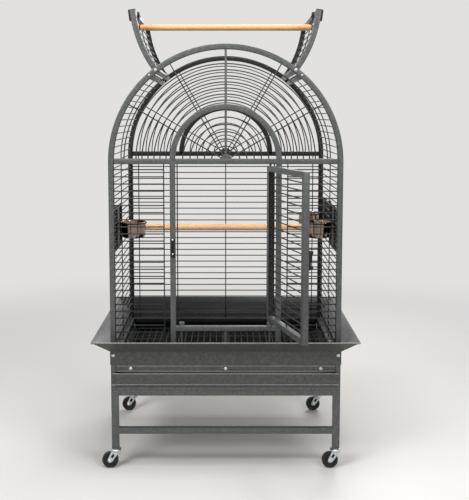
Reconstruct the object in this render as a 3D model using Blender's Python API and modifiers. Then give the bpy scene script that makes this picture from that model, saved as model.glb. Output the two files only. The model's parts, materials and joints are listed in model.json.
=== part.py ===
"""Parrot cage with a round-topped front, a roof of two hinged leaves and a stand on casters.

Metres, +Z up, front towards -Y. The origin is under the middle of the whole outline, open door included.
"""
import math

import bmesh
import bpy
from mathutils import Matrix, Vector

# Frame and mesh
TUBE = 0.019
WIRE = 0.003
PITCH = 0.025
SHEET = 0.0015
GAP = 0.0003
SWING_GAP = 0.001
CAGE_WIDTH = 0.813
CAGE_DEPTH = 0.584
SPRING_Z = 1.096
BAR_Z = 1.1005
ARC_STEP = math.radians(15)

# Stand
LEG = 0.025
LEG_FOOT_Z = 0.073
STAND_TOP_Z = 0.305
APRON_HEIGHT = 0.0175
CROSSBAR_Z = 0.138
CROSSBAR_HEIGHT = 0.020

# Base of the cage
RAIL_Z = 0.393
LEDGE_REACH = 0.0325
GRATE_LEDGE_Z = 0.356
SKIRT_INSET = 0.002

# Seed guards
GUARD_BOTTOM_Z = 0.381
GUARD_BEND_Z = 0.430
GUARD_RUN = 0.0575
GUARD_RISE = 0.048
GUARD_HEM = 0.005

# Tray and grate
TRAY_SIDE_GAP = 0.0035
TRAY_HEIGHT = 0.036
TRAY_FRONT_WIDTH = 0.800
TRAY_FRONT_BOTTOM_Z = 0.309
TRAY_FRONT_TOP_Z = 0.352
TRAY_HEM = 0.004
GRATE_FRONT_HEIGHT = 0.022
GRATE_FRONT_THICK = 0.003

# Door and the frame round it
JAMB_X = 0.1845
ARCH_Z = 1.104
SILL_Z = 0.5105
ROD = 0.007
MID_ROD = 0.014
ZONE_GAP = 0.0195
HUB_RADIUS = 0.019
RING_PITCH = 0.026
FAN_ANGLES = (30, 60, 90, 120, 150)
HINGE_X = 0.155
DOOR_SPAN = 0.316
DOOR_BOTTOM_Z = 0.539
DOOR_TOP_Z = 1.085
DOOR_OPEN = math.radians(107)
STOP_X = 0.169
PIN = 0.008
PIN_PLAY = 0.0005
CUP = 0.020
CUP_HEIGHT = 0.013
REAR_UPRIGHT_MARGIN = 0.033

# Latch on the door
LATCH_Z = 0.808
LATCH_HEIGHT = 0.062
LATCH_WIDTH = 0.014
LATCH_THICK = 0.008
LEVER_LENGTH = 0.030
LEVER_TIP_RADIUS = 0.0054
LEVER_THICK = 0.004
KEEPER_Z = 0.7985
KEEPER_HEIGHT = 0.066
KEEPER_WIDTH = 0.015
KEEPER_THICK = 0.0025

# Roof leaves and the perch across them
SIDE_RAIL_ANGLE = math.radians(41.1)
LEAF_HINGE_ANGLE = math.radians(37.1)
LEAF_TIP_ANGLE = math.radians(4.9)
LEAF_OPEN = math.radians(90)
LUG_LENGTH = 0.037
LUG_HEIGHT = 0.0095
LUG_WIDTH = 0.016
BOLT_HEAD_RADIUS = 0.0072
BOLT_HEAD_HEIGHT = 0.004
ROOF_PERCH_RADIUS = 0.011
ROOF_PERCH_DROP = 0.0505
ROOF_PERCH_DEPTH = 0.110
HOOK_THICK = 0.0025
HOOK_WIDTH = 0.014
HOOK_LEG = 0.010

# Perch inside
PERCH_RADIUS = 0.0125
PERCH_Z = 0.831

# Feeders
FEEDER_OPENING = 0.150
FEEDER_MID_MARGIN = 0.0225
FEEDER_REAR_MARGIN = 0.025
FEEDER_LOW_ROW = 14
FEEDER_ROWS = 6
FEEDER_FLANGE = 0.006
FEEDER_BOX = 0.034
FEEDER_WALL = 0.003
BOWL_RADIUS = 0.046
BOWL_FOOT_RADIUS = 0.039
BOWL_RIM = 0.003
BOWL_HEIGHT = 0.060
BOWL_WALL = 0.0015
BOWL_LIP = 0.00225
BOWL_INSET = 0.054
BOWL_RIM_Z = 0.866
BOWL_SIDES = 16
HOLDER_BAND = 0.0035
HOLDER_THICK = 0.0035
HOLDER_TAB = 0.030

# Casters
WHEEL_RADIUS = 0.029
WHEEL_WIDTH = 0.018
WHEEL_SIDES = 20
CASTER_TRAIL = 0.020
AXLE = 0.008
FORK_PLATE = 0.002
FORK_SIDE_GAP = 0.002
RACE_RADIUS = 0.015
RACE_HEIGHT = 0.0065
BRIDGE_HALF = 0.013
BRIDGE_HEIGHT = 0.004
FORK_SHOULDER = 0.006

# Sizes that follow from the ones above
HALF = TUBE / 2
POST_X = CAGE_WIDTH / 2 - HALF
HOOP_RADIUS = POST_X
DEPTH_CC = CAGE_DEPTH - TUBE
DOOR_REACH = (DOOR_SPAN + HALF) * math.sin(DOOR_OPEN) + HALF * abs(math.cos(DOOR_OPEN))
REAR_REACH = DEPTH_CC + HALF + GAP + GUARD_RUN + SHEET
FRONT_Y = (DOOR_REACH - REAR_REACH) / 2
REAR_Y = FRONT_Y + DEPTH_CC
MID_Y = (FRONT_Y + REAR_Y) / 2
INNER_X = POST_X - HALF - GAP
REAR_UPRIGHT_X = POST_X - REAR_UPRIGHT_MARGIN
RAIL_TOP_Z = RAIL_Z + HALF
BAR_BOTTOM_Z = BAR_Z - HALF
BAR_TOP_Z = BAR_Z + HALF
POST_FOOT_Z = STAND_TOP_Z + GAP
LEAF_Y = HALF + SWING_GAP + HALF
CROSS = TUBE - SWING_GAP
FEEDER_FRONT_DEPTH = DEPTH_CC / 2 - FEEDER_OPENING / 2 - FEEDER_MID_MARGIN
FEEDER_REAR_DEPTH = DEPTH_CC - FEEDER_OPENING / 2 - FEEDER_REAR_MARGIN

# Looks
GREY = (0.118, 0.130, 0.134)
DARK_GREY = (0.060, 0.062, 0.062)
BLACK = (0.012, 0.012, 0.013)
STEEL = (0.62, 0.60, 0.57)
ZINC = (0.70, 0.72, 0.75)
WOOD = (0.78, 0.50, 0.27)
RUBBER = (0.015, 0.015, 0.016)

FRONT = Matrix.Rotation(math.radians(90), 4, "X")
SIDE = Matrix.Rotation(math.radians(90), 4, "Z") @ FRONT
PLAN = Matrix.Identity(4)


def clear_scene():
    """Remove whatever the scene holds."""
    for thing in list(bpy.data.objects):
        bpy.data.objects.remove(thing, do_unlink=True)


def collection(name):
    """A collection in the scene."""
    group = bpy.data.collections.new(name)
    bpy.context.scene.collection.children.link(group)
    return group


def material(name, colour, roughness, metallic):
    """A Principled material."""
    made = bpy.data.materials.new(name)
    made.use_nodes = True
    shader = made.node_tree.nodes["Principled BSDF"]
    shader.inputs["Base Color"].default_value = (*colour, 1.0)
    shader.inputs["Roughness"].default_value = roughness
    shader.inputs["Metallic"].default_value = metallic
    made.diffuse_color = (*colour, 1.0)
    return made


def place(name, mesh, paint, matrix=PLAN, parent=None):
    """Put a mesh in the cage's collection as a named piece."""
    piece = bpy.data.objects.new(name, mesh)
    if paint:
        mesh.materials.clear()
        mesh.materials.append(paint)
    CAGE.objects.link(piece)
    piece.parent = parent
    piece.matrix_local = matrix
    return piece


def pivot(name, location, turn=0.0, axis="Z", parent=None):
    """An empty on a joint's axis, turned to the rest pose."""
    empty = bpy.data.objects.new(name, None)
    empty.empty_display_size = 0.05
    CAGE.objects.link(empty)
    empty.parent = parent
    empty.matrix_local = Matrix.Translation(location) @ Matrix.Rotation(turn, 4, axis)
    return empty


def outline_mesh(name, loops, thickness):
    """A flat outline with its holes, given a thickness, centred on its own plane."""
    curve = bpy.data.curves.new(name, "CURVE")
    curve.dimensions = "2D"
    curve.fill_mode = "BOTH"
    curve.extrude = thickness / 2
    for loop in loops:
        spline = curve.splines.new("POLY")
        spline.points.add(len(loop) - 1)
        for point, (x, y) in zip(spline.points, loop):
            point.co = (x, y, 0, 1)
        spline.use_cyclic_u = True
    flat = bpy.data.objects.new(name, curve)
    bpy.context.scene.collection.objects.link(flat)
    graph = bpy.context.evaluated_depsgraph_get()
    mesh = bpy.data.meshes.new_from_object(flat.evaluated_get(graph))
    bpy.data.objects.remove(flat)
    weld(mesh)
    mesh.name = name
    return mesh


def weld(mesh):
    """Close the seams of a mesh that came from a curve and face it outwards."""
    work = bmesh.new()
    work.from_mesh(mesh)
    bmesh.ops.remove_doubles(work, verts=work.verts, dist=0.00001)
    bmesh.ops.dissolve_degenerate(work, edges=work.edges, dist=0.00001)
    merge_flats(work)
    bmesh.ops.recalc_face_normals(work, faces=work.faces)
    work.to_mesh(mesh)
    work.free()


def merge_flats(work):
    """Join the faces that lie in one plane."""
    bmesh.ops.dissolve_limit(work, angle_limit=math.radians(0.5), verts=work.verts, edges=work.edges)


def box_mesh(name, low, high):
    """A box between two corners."""
    low, high = Vector(low), Vector(high)
    work = bmesh.new()
    frame = Matrix.Translation((low + high) / 2) @ Matrix.Diagonal((*(high - low), 1))
    bmesh.ops.create_cube(work, size=1, matrix=frame)
    mesh = bpy.data.meshes.new(name)
    work.to_mesh(mesh)
    work.free()
    return mesh


def rod_mesh(name, start, end, radius, sides):
    """A straight round bar between two points, shaded smooth."""
    start, end = Vector(start), Vector(end)
    along = end - start
    turn = along.to_track_quat("Z", "Y").to_matrix().to_4x4()
    work = bmesh.new()
    bmesh.ops.create_cone(work, cap_ends=True, segments=sides, radius1=radius, radius2=radius,
                          depth=along.length, matrix=Matrix.Translation((start + end) / 2) @ turn)
    mesh = bpy.data.meshes.new(name)
    work.to_mesh(mesh)
    work.free()
    mesh.shade_smooth()
    mesh.set_sharp_from_angle(angle=math.radians(50))
    return mesh


def helper(mesh, matrix=PLAN, parent=None):
    """A hidden solid that another piece is joined to or cut by."""
    guide = bpy.data.objects.new(mesh.name, mesh)
    CUTTERS.objects.link(guide)
    guide.parent = parent
    guide.matrix_local = matrix
    guide.hide_render = True
    guide.display_type = "WIRE"
    return guide


def combine(piece, operation, *guides):
    """Add or cut helper solids, one Boolean modifier each."""
    for guide in guides:
        modifier = piece.modifiers.new(operation.title() + " " + guide.name, "BOOLEAN")
        modifier.operation = operation
        modifier.solver = "EXACT"
        modifier.object = guide
    return piece


def rectangle(x0, y0, x1, y1):
    """The corners of a rectangle."""
    return [(x0, y0), (x1, y0), (x1, y1), (x0, y1)]


def circle(x, y, radius, sides, phase=0.0):
    """The corners of a regular polygon round a point."""
    turns = [phase + 2 * math.pi * i / sides for i in range(sides)]
    return [(x + radius * math.cos(a), y + radius * math.sin(a)) for a in turns]


def arc(x, y, radius, start, end, step=ARC_STEP):
    """Points on an arc, with its two ends and the whole steps between them."""
    low, high = sorted((start, end))
    first = math.floor(low / step + 0.3) + 1
    last = math.ceil(high / step - 0.3) - 1
    turns = [low, *[i * step for i in range(first, last + 1)], high]
    if start > end:
        turns.reverse()
    return [(x + radius * math.cos(a), y + radius * math.sin(a)) for a in turns]


def spread(low, high, pitch):
    """Places at a pitch between two limits, with equal margins at the ends."""
    count = int((high - low) / pitch)
    first = (low + high - (count - 1) * pitch) / 2
    return [first + i * pitch for i in range(count)]


def bars(places, width=WIRE):
    """Both edges of each bar in a row of bars."""
    return [(p - width / 2, p + width / 2) for p in places]


def within(value, spans):
    """Whether a value lies inside one of several spans."""
    return any(low < value < high for low, high in spans)


def wire_panel(name, bounds, uprights, rows, openings=(), spot=None):
    """A panel of welded wires as an open surface: a grid with its gaps removed, for Solidify to thicken.

    bounds is (left, right, bottom, top), which the wires run out to. An opening is (left, right, row below
    it, row above it) and has a wire down each side. spot bends the panel, by giving a point for a place on it.
    """
    framed = [(a - WIRE, b + WIRE, rows[below][0], rows[above][1]) for a, b, below, above in openings]
    clear = [(a, b, rows[below][1], rows[above][0]) for a, b, below, above in openings]
    across = {bounds[0], bounds[1], *[e for span in uprights for e in span]}
    for (a, b, _, _), (c, d, _, _) in zip(framed, clear):
        across |= {a, b, c, d}
    across = sorted(across)
    along = sorted({bounds[2], bounds[3], *[e for span in rows for e in span]})

    def is_wire(x, y):
        if any(within(x, [(a, b)]) and within(y, [(c, d)]) for a, b, c, d in clear):
            return False
        if any(within(x, [(a, b)]) and within(y, [(c, d)]) for a, b, c, d in framed):
            return True
        return within(x, uprights) or within(y, rows)

    work = bmesh.new()
    wide, high = len(across) - 1, len(along) - 1
    bmesh.ops.create_grid(work, x_segments=wide, y_segments=high, size=0.5)
    corner = {v: (round((v.co.x + 0.5) * wide), round((v.co.y + 0.5) * high)) for v in work.verts}
    gaps = []
    for face in work.faces:
        i = min(corner[v][0] for v in face.verts)
        j = min(corner[v][1] for v in face.verts)
        if not is_wire((across[i] + across[i + 1]) / 2, (along[j] + along[j + 1]) / 2):
            gaps.append(face)
    for vert, (i, j) in corner.items():
        vert.co = spot(across[i], along[j]) if spot else (across[i], along[j], 0)
    bmesh.ops.delete(work, geom=gaps, context="FACES")
    merge_flats(work)
    bmesh.ops.recalc_face_normals(work, faces=work.faces)
    mesh = bpy.data.meshes.new(name)
    work.to_mesh(mesh)
    work.free()
    return mesh


def facet_radius(radius, turn):
    """How far from its middle the flats of a bent tube lie, at an angle between two of its corners."""
    step = ARC_STEP / 2
    return radius * math.cos(step / 2) / math.cos(turn % step - step / 2)


def fan_loops(inner, outer, rings, floor, centre):
    """The outline of a half-round wire fan: rings that stand on a bar, and spokes that run out across them.

    inner and outer are the bent tubes that the spokes reach, as (radius, height of the middle). inner is None
    where the first ring is a solid hub.
    """
    spokes = [math.radians(a) for a in FAN_ANGLES]

    def foot(radius):
        return math.asin((floor - centre) / radius)

    def edge(radius, start, end):
        fine = ARC_STEP if radius > JAMB_X else 2 * ARC_STEP
        return arc(0, centre, radius, start, end, fine)

    def turned(radius):
        return math.asin(WIRE / 2 / radius)

    def reach_to(tube_radius, tube_z, spoke):
        drop = centre - tube_z
        reach = math.sqrt(tube_radius ** 2 - (drop * math.cos(spoke)) ** 2) - drop * math.sin(spoke)
        turn = math.atan2(drop + reach * math.sin(spoke), reach * math.cos(spoke))
        return reach - tube_radius + facet_radius(tube_radius, turn)

    def free_edge(radius, tube):
        points = []
        at = foot(radius)
        for spoke in spokes:
            reach = reach_to(*tube, spoke)
            points += edge(radius, at, spoke - turned(radius))
            points += [(reach * math.cos(a), centre + reach * math.sin(a))
                       for a in (spoke - turned(reach), spoke + turned(reach))]
            at = spoke + turned(radius)
        return points + edge(radius, at, math.pi - foot(radius))

    last = len(rings) - 1
    points = []
    for number, (low, high) in enumerate(rings):
        if number:
            points += edge(low, spokes[0] - turned(low), foot(low))
        if number < last:
            points += edge(high, foot(high), spokes[0] - turned(high))
    points += free_edge(rings[last][1], outer)
    for number, (low, high) in reversed(list(enumerate(rings))):
        if number < last:
            points += edge(high, spokes[-1] + turned(high), math.pi - foot(high))
        if number:
            points += edge(low, math.pi - foot(low), spokes[-1] + turned(low))
    if inner:
        points += free_edge(rings[0][0], inner)[::-1]
    holes = []
    for (_, high), (low, _) in zip(rings, rings[1:]):
        for start, end in zip(spokes, spokes[1:]):
            holes.append(edge(high, start + turned(high), end - turned(high))
                         + edge(low, end - turned(low), start + turned(low)))
    return [points, *holes]


def dome(side, reach):
    """A point on the side's mesh, by its distance up along it from the spring line."""
    if reach < 0:
        return Vector((side * HOOP_RADIUS, 0, SPRING_Z + reach))
    turn = reach / HOOP_RADIUS
    return Vector((side * HOOP_RADIUS * math.cos(turn), 0, SPRING_Z + HOOP_RADIUS * math.sin(turn)))


def roof_mesh(name, side, reach, start, stop, places):
    """A wire panel bent to the round roof: wires front to back at the given places along the curve."""
    def spot(depth, along):
        return dome(side, along) + Vector((0, depth, 0))

    return wire_panel(name, (-reach, reach, start, stop), bars([0.0]), bars(places), spot=spot)


def thicken(piece, thickness):
    """Give an open surface its thickness, half to each side."""
    modifier = piece.modifiers.new("Wire", "SOLIDIFY")
    modifier.thickness = thickness
    modifier.offset = 0
    return piece


def at(x=0.0, y=0.0, z=0.0):
    """A move."""
    return Matrix.Translation((x, y, z))


def roof_point(side, angle, radius=HOOP_RADIUS):
    """Where the roof's curve is, by its angle from straight up."""
    return side * radius * math.sin(angle), SPRING_Z + radius * math.cos(angle)


def hoop_loops():
    """The bent tube at each end of the cage, with the holes for the roof leaves' bolts.

    Its inner side runs straight past the end of the spring bar before it bends.
    """
    outer, inner = HOOP_RADIUS + HALF, HOOP_RADIUS - HALF
    fine = ARC_STEP / 2
    rim = [(outer, POST_FOOT_Z), *arc(0, SPRING_Z, outer, 0, math.pi, fine), (-outer, POST_FOOT_Z),
           (-inner, POST_FOOT_Z), (-inner, BAR_TOP_Z), *arc(0, SPRING_Z, inner, math.pi - fine, fine, fine),
           (inner, BAR_TOP_Z), (inner, POST_FOOT_Z)]
    holes = [circle(*roof_point(side, LEAF_HINGE_ANGLE), PIN / 2 + PIN_PLAY, 12) for side in (-1, 1)]
    return [rim, *holes]


def door_arch_loop():
    """The jambs beside the door and the arch that they run into, as one bent tube."""
    jamb_out, jamb_in = JAMB_X + HALF, JAMB_X - HALF
    fine = ARC_STEP / 2
    return [(jamb_out, RAIL_Z), *arc(0, ARCH_Z, jamb_out, 0, math.pi, fine), (-jamb_out, RAIL_Z),
            (-jamb_in, RAIL_Z), *arc(0, ARCH_Z, jamb_in, math.pi, 0, fine), (jamb_in, RAIL_Z)]


def build_hoops():
    """Front and rear hoops, the rear spring bar and the two fixed rails of the roof."""
    for name, y in (("front_hoop", FRONT_Y), ("rear_hoop", REAR_Y)):
        place(name, outline_mesh(name, hoop_loops(), TUBE), POWDER, at(y=y) @ FRONT)
    place("rear_spring_bar", box_mesh("rear_spring_bar", (-INNER_X, REAR_Y - HALF, BAR_BOTTOM_Z),
                                      (INNER_X, REAR_Y + HALF, BAR_TOP_Z)), POWDER)
    reach = DEPTH_CC / 2 - HALF - GAP
    for name, side in (("left_roof_rail", -1), ("right_roof_rail", 1)):
        rail = box_mesh(name, (-HALF, -reach, -HALF), (HALF, reach, HALF))
        x, z = roof_point(side, SIDE_RAIL_ANGLE)
        place(name, rail, POWDER, at(x, MID_Y, z) @ Matrix.Rotation(side * SIDE_RAIL_ANGLE, 4, "Y"))


def build_front_frame():
    """The frame round the door, with the cups and holes that the door's pins turn in."""
    mesh = outline_mesh("door_surround", [door_arch_loop()], TUBE)
    frame = place("door_surround", mesh, POWDER, at(y=FRONT_Y) @ FRONT)
    for title, half, z in (("rail", INNER_X, RAIL_Z), ("spring bar", INNER_X, BAR_Z), ("sill", JAMB_X, SILL_Z)):
        bar = box_mesh(title, (-half, FRONT_Y - CROSS / 2, z - HALF), (half, FRONT_Y + CROSS / 2, z + HALF))
        combine(frame, "UNION", helper(bar))
    for x, width in ((-HINGE_X, ROD), (0, MID_ROD), (HINGE_X, ROD)):
        rod = rod_mesh("rod", (x, FRONT_Y, RAIL_Z), (x, FRONT_Y, SILL_Z), width / 2, 8)
        combine(frame, "UNION", helper(rod))
    sill_top = SILL_Z + HALF
    bore = PIN / 2 + PIN_PLAY
    for side in (-1, 1):
        x = side * HINGE_X
        ring = outline_mesh("cup", [circle(x, 0, CUP / 2, 16), circle(x, 0, bore, 12)], CUP_HEIGHT + TUBE / 4)
        combine(frame, "UNION", helper(ring, at(y=FRONT_Y, z=sill_top + CUP_HEIGHT / 2 - TUBE / 8)))
        ends = [(x, FRONT_Y, z) for z in (BAR_BOTTOM_Z - HALF, BAR_Z + HALF / 4)]
        hole = rod_mesh("pin hole", *ends, bore, 12)
        combine(frame, "DIFFERENCE", helper(hole))
    low = SILL_Z - WIRE / 2
    edge_in, edge_out = STOP_X - WIRE / 2, STOP_X + WIRE / 2
    stop = [(-edge_out, BAR_Z), (-edge_out, low), (edge_out, low), (edge_out, BAR_Z),
            (edge_in, BAR_Z), (edge_in, low + WIRE), (-edge_in, low + WIRE), (-edge_in, BAR_Z)]
    place("door_stop_wire", outline_mesh("door_stop_wire", [stop], WIRE), MESH,
          at(y=FRONT_Y + HALF + GAP + WIRE / 2) @ FRONT)


def build_flat_meshes():
    """Front, rear and side wire panels below the spring line, and the two fans above it."""
    rows = bars(ROWS)
    low, high = RAIL_TOP_Z + GAP, BAR_BOTTOM_Z - GAP
    stile = JAMB_X + HALF + ZONE_GAP
    right = wire_panel("front_mesh_right", (stile, INNER_X, low, high), [(stile, stile + WIRE)], rows)
    left = wire_panel("front_mesh_left", (-INNER_X, -stile, low, high), [(-stile - WIRE, -stile)], rows)
    uprights = bars([-REAR_UPRIGHT_X, 0.0, REAR_UPRIGHT_X])
    rear = wire_panel("rear_mesh", (-INNER_X, INNER_X, low, high), uprights, rows)
    for panel, y in ((right, FRONT_Y), (left, FRONT_Y), (rear, REAR_Y)):
        thicken(place(panel.name, panel, MESH, at(y=y) @ FRONT), WIRE)

    floor = BAR_TOP_Z + GAP
    hoop = (HOOP_RADIUS - HALF - GAP, SPRING_Z)
    arch_in, arch_out = JAMB_X - HALF - GAP, JAMB_X + HALF + GAP
    hub = (0.0, HUB_RADIUS)
    inner_rings = [hub, *bars(spread(HUB_RADIUS, arch_in, RING_PITCH))]
    inner = fan_loops(None, (arch_in, ARCH_Z), inner_rings, floor, ARCH_Z)
    place("front_fan_inner", outline_mesh("front_fan_inner", inner, WIRE), MESH, at(y=FRONT_Y) @ FRONT)
    outer_rings = bars(spread(arch_out, hoop[0], RING_PITCH))
    outer = fan_loops((arch_out, ARCH_Z), hoop, outer_rings, floor, SPRING_Z)
    place("front_fan_outer", outline_mesh("front_fan_outer", outer, WIRE), MESH, at(y=FRONT_Y) @ FRONT)
    rear_rings = [hub, *bars(spread(HUB_RADIUS, hoop[0], RING_PITCH))]
    rear_fan = fan_loops(None, hoop, rear_rings, floor, ARCH_Z)
    place("rear_fan", outline_mesh("rear_fan", rear_fan, WIRE), MESH, at(y=REAR_Y) @ FRONT)


def build_side_meshes():
    """Side wire panels with their feeder openings, and the bent panels that carry them up to the roof."""
    rows = bars(ROWS)
    split = ROWS[-1] + PITCH / 2
    reach = DEPTH_CC / 2 - HALF - GAP
    half = FEEDER_OPENING / 2
    for name, side, depths in (("left", -1, LEFT_FEEDERS), ("right", 1, RIGHT_FEEDERS)):
        openings = [(d - DEPTH_CC / 2 - half, d - DEPTH_CC / 2 + half, FEEDER_LOW_ROW,
                     FEEDER_LOW_ROW + FEEDER_ROWS) for d in depths]
        uprights = bars(SIDE_UPRIGHTS)
        title = name + "_side_mesh"
        panel = wire_panel(title, (-reach, reach, RAIL_TOP_Z + GAP, split), uprights, rows, openings)
        thicken(place(title, panel, MESH, at(side * POST_X, MID_Y) @ SIDE), WIRE)
        stop = HOOP_RADIUS * (math.pi / 2 - SIDE_RAIL_ANGLE) - HALF - GAP
        places = [ROWS[-1] + PITCH - SPRING_Z]
        while places[-1] + PITCH + PITCH / 2 < stop:
            places.append(places[-1] + PITCH)
        title = name + "_roof_mesh"
        bent = roof_mesh(title, side, reach, split + GAP - SPRING_Z, stop, places)
        thicken(place(title, bent, MESH, at(y=MID_Y)), WIRE)


def guard_mesh(name, half_length):
    """A seed guard: a flange, a slope that leans out from it and a folded lip, with mitred ends."""
    lean = math.hypot(GUARD_RUN, GUARD_RISE) / GUARD_RUN * SHEET
    lip_z = GUARD_BEND_Z + GUARD_RISE
    under = GUARD_BEND_Z + GUARD_RISE / GUARD_RUN * SHEET - lean
    profile = [(0, GUARD_BOTTOM_Z), (0, GUARD_BEND_Z), (GUARD_RUN, lip_z), (GUARD_RUN + SHEET, lip_z),
               (GUARD_RUN + SHEET, lip_z - GUARD_HEM), (GUARD_RUN, lip_z - GUARD_HEM),
               (GUARD_RUN, lip_z - lean), (SHEET, under), (SHEET, GUARD_BOTTOM_Z)]
    work = bmesh.new()
    face = work.faces.new([work.verts.new((-1, -out, z)) for out, z in profile])
    moved = bmesh.ops.extrude_face_region(work, geom=[face])["geom"]
    bmesh.ops.translate(work, vec=(2, 0, 0), verts=[v for v in moved if isinstance(v, bmesh.types.BMVert)])
    for vert in work.verts:
        vert.co.x *= half_length - GAP - vert.co.y
    bmesh.ops.recalc_face_normals(work, faces=work.faces)
    mesh = bpy.data.meshes.new(name)
    work.to_mesh(mesh)
    work.free()
    return mesh


def build_guards():
    """The four seed guards round the base."""
    wide, deep = CAGE_WIDTH / 2 + GAP, CAGE_DEPTH / 2 + GAP
    for name, turn, out, half in (("front", 0, deep, wide), ("right", 90, wide, deep),
                                  ("rear", 180, deep, wide), ("left", 270, wide, deep)):
        title = name + "_seed_guard"
        spin = Matrix.Rotation(math.radians(turn), 4, "Z")
        place(title, guard_mesh(title, half), SHEET_GREY, at(y=MID_Y) @ spin @ at(y=-out))


def build_base():
    """The skirts with the ledges that the tray and the grate slide on, and the stand under them."""
    ledge = INNER_X + TUBE - LEDGE_REACH
    skin = CAGE_WIDTH / 2 - SKIRT_INSET
    rail_low = RAIL_TOP_Z - TUBE
    thick = SHEET + GAP
    for name, side in (("left", -1), ("right", 1)):
        profile = [(skin, POST_FOOT_Z), (skin, rail_low), (CAGE_WIDTH / 2, rail_low),
                   (CAGE_WIDTH / 2, RAIL_TOP_Z), (INNER_X, RAIL_TOP_Z), (INNER_X, rail_low),
                   (skin - thick, rail_low), (skin - thick, GRATE_LEDGE_Z + thick),
                   (ledge, GRATE_LEDGE_Z + thick), (ledge, GRATE_LEDGE_Z),
                   (skin - thick, GRATE_LEDGE_Z), (skin - thick, POST_FOOT_Z + thick),
                   (ledge, POST_FOOT_Z + thick), (ledge, POST_FOOT_Z)]
        loop = [(side * x, z) for x, z in profile]
        title = name + "_base_rail"
        length = DEPTH_CC - TUBE - 2 * GAP
        place(title, outline_mesh(title, [loop], length), POWDER, at(y=MID_Y) @ FRONT)
    outer = DEPTH_CC / 2 + HALF
    rear = [(outer - SKIRT_INSET, POST_FOOT_Z), (outer - SKIRT_INSET, rail_low), (outer, rail_low),
            (outer, RAIL_TOP_Z), (outer - TUBE, RAIL_TOP_Z), (outer - TUBE, rail_low),
            (outer - SKIRT_INSET - thick, rail_low), (outer - SKIRT_INSET - thick, POST_FOOT_Z)]
    place("rear_base_rail", outline_mesh("rear_base_rail", [rear], 2 * INNER_X), POWDER, at(y=MID_Y) @ SIDE)

    wide, deep = CAGE_WIDTH / 2, CAGE_DEPTH / 2
    ring = [rectangle(-wide, -deep, wide, deep), rectangle(LEG - wide, LEG - deep, wide - LEG, deep - LEG)]
    top = outline_mesh("stand_top", ring, TUBE)
    place("stand_top", top, POWDER, at(y=MID_Y, z=STAND_TOP_Z - HALF))
    leg_top = STAND_TOP_Z - TUBE - GAP
    inner = wide - LEG
    bar_low, bar_high = CROSSBAR_Z - CROSSBAR_HEIGHT / 2, CROSSBAR_Z + CROSSBAR_HEIGHT / 2
    legs = [(-wide, LEG_FOOT_Z), (-inner, LEG_FOOT_Z), (-inner, bar_low), (inner, bar_low),
            (inner, LEG_FOOT_Z), (wide, LEG_FOOT_Z), (wide, leg_top), (-wide, leg_top)]
    gap = rectangle(-inner, bar_high, inner, leg_top - APRON_HEIGHT)
    for name, y in (("front_legs", MID_Y - deep + LEG / 2), ("rear_legs", MID_Y + deep - LEG / 2)):
        place(name, outline_mesh(name, [legs, gap], LEG), POWDER, at(y=y) @ FRONT)


def build_tray():
    """The pull-out tray with its folded front, in its own place on the lower ledges."""
    front = FRONT_Y - HALF - GAP
    back = REAR_Y - HALF - TRAY_SIDE_GAP
    low = POST_FOOT_Z + SHEET + GAP + GAP
    wide = INNER_X - TRAY_SIDE_GAP
    work = bmesh.new()
    size = Vector((2 * wide, back - front + SHEET / 2, TRAY_HEIGHT))
    middle = Vector((0, (front - SHEET / 2 + back) / 2, low + TRAY_HEIGHT / 2))
    bmesh.ops.create_cube(work, size=1, matrix=Matrix.Translation(middle) @ Matrix.Diagonal((*size, 1)))
    work.faces.ensure_lookup_table()
    bmesh.ops.delete(work, geom=[f for f in work.faces if f.normal.z > 0.5], context="FACES")
    mesh = bpy.data.meshes.new("tray")
    work.to_mesh(mesh)
    work.free()
    tray = place("tray", mesh, SHEET_DARK)
    shell = tray.modifiers.new("Sheet", "SOLIDIFY")
    shell.thickness = SHEET
    shell.offset = -1
    fold = SHEET + TRAY_HEM
    profile = [(0, TRAY_FRONT_BOTTOM_Z), (0, TRAY_FRONT_TOP_Z), (-fold, TRAY_FRONT_TOP_Z),
               (-fold, TRAY_FRONT_TOP_Z - SHEET), (-SHEET, TRAY_FRONT_TOP_Z - SHEET),
               (-SHEET, TRAY_FRONT_BOTTOM_Z + SHEET), (-fold, TRAY_FRONT_BOTTOM_Z + SHEET),
               (-fold, TRAY_FRONT_BOTTOM_Z)]
    face = outline_mesh("tray face", [profile], TRAY_FRONT_WIDTH)
    combine(tray, "UNION", helper(face, at(y=front) @ SIDE))


def build_grate():
    """The pull-out wire grate over the tray, with its front strip."""
    wide = INNER_X - TRAY_SIDE_GAP
    front = FRONT_Y - HALF
    back = REAR_Y - HALF - TRAY_SIDE_GAP
    ends = [front + 2 * WIRE, back - WIRE]
    loops = [rectangle(-wide, front + WIRE / 2, wide, back)]
    inner = wide - 2 * WIRE
    edges = [-inner, *[e for pair in bars(spread(-inner, inner, PITCH)) for e in pair], inner]
    for start, stop in zip(edges[::2], edges[1::2]):
        loops.append(rectangle(start, ends[0], stop, ends[1]))
    z = GRATE_LEDGE_Z + SHEET + GAP + GAP + WIRE / 2
    grate = place("grate", outline_mesh("grate", loops, WIRE), SHEET_GREY, at(z=z))
    low = z - WIRE
    strip = box_mesh("grate strip", (-INNER_X, front, low),
                     (INNER_X, front + GRATE_FRONT_THICK, low + GRATE_FRONT_HEIGHT))
    combine(grate, "UNION", helper(strip))


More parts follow.
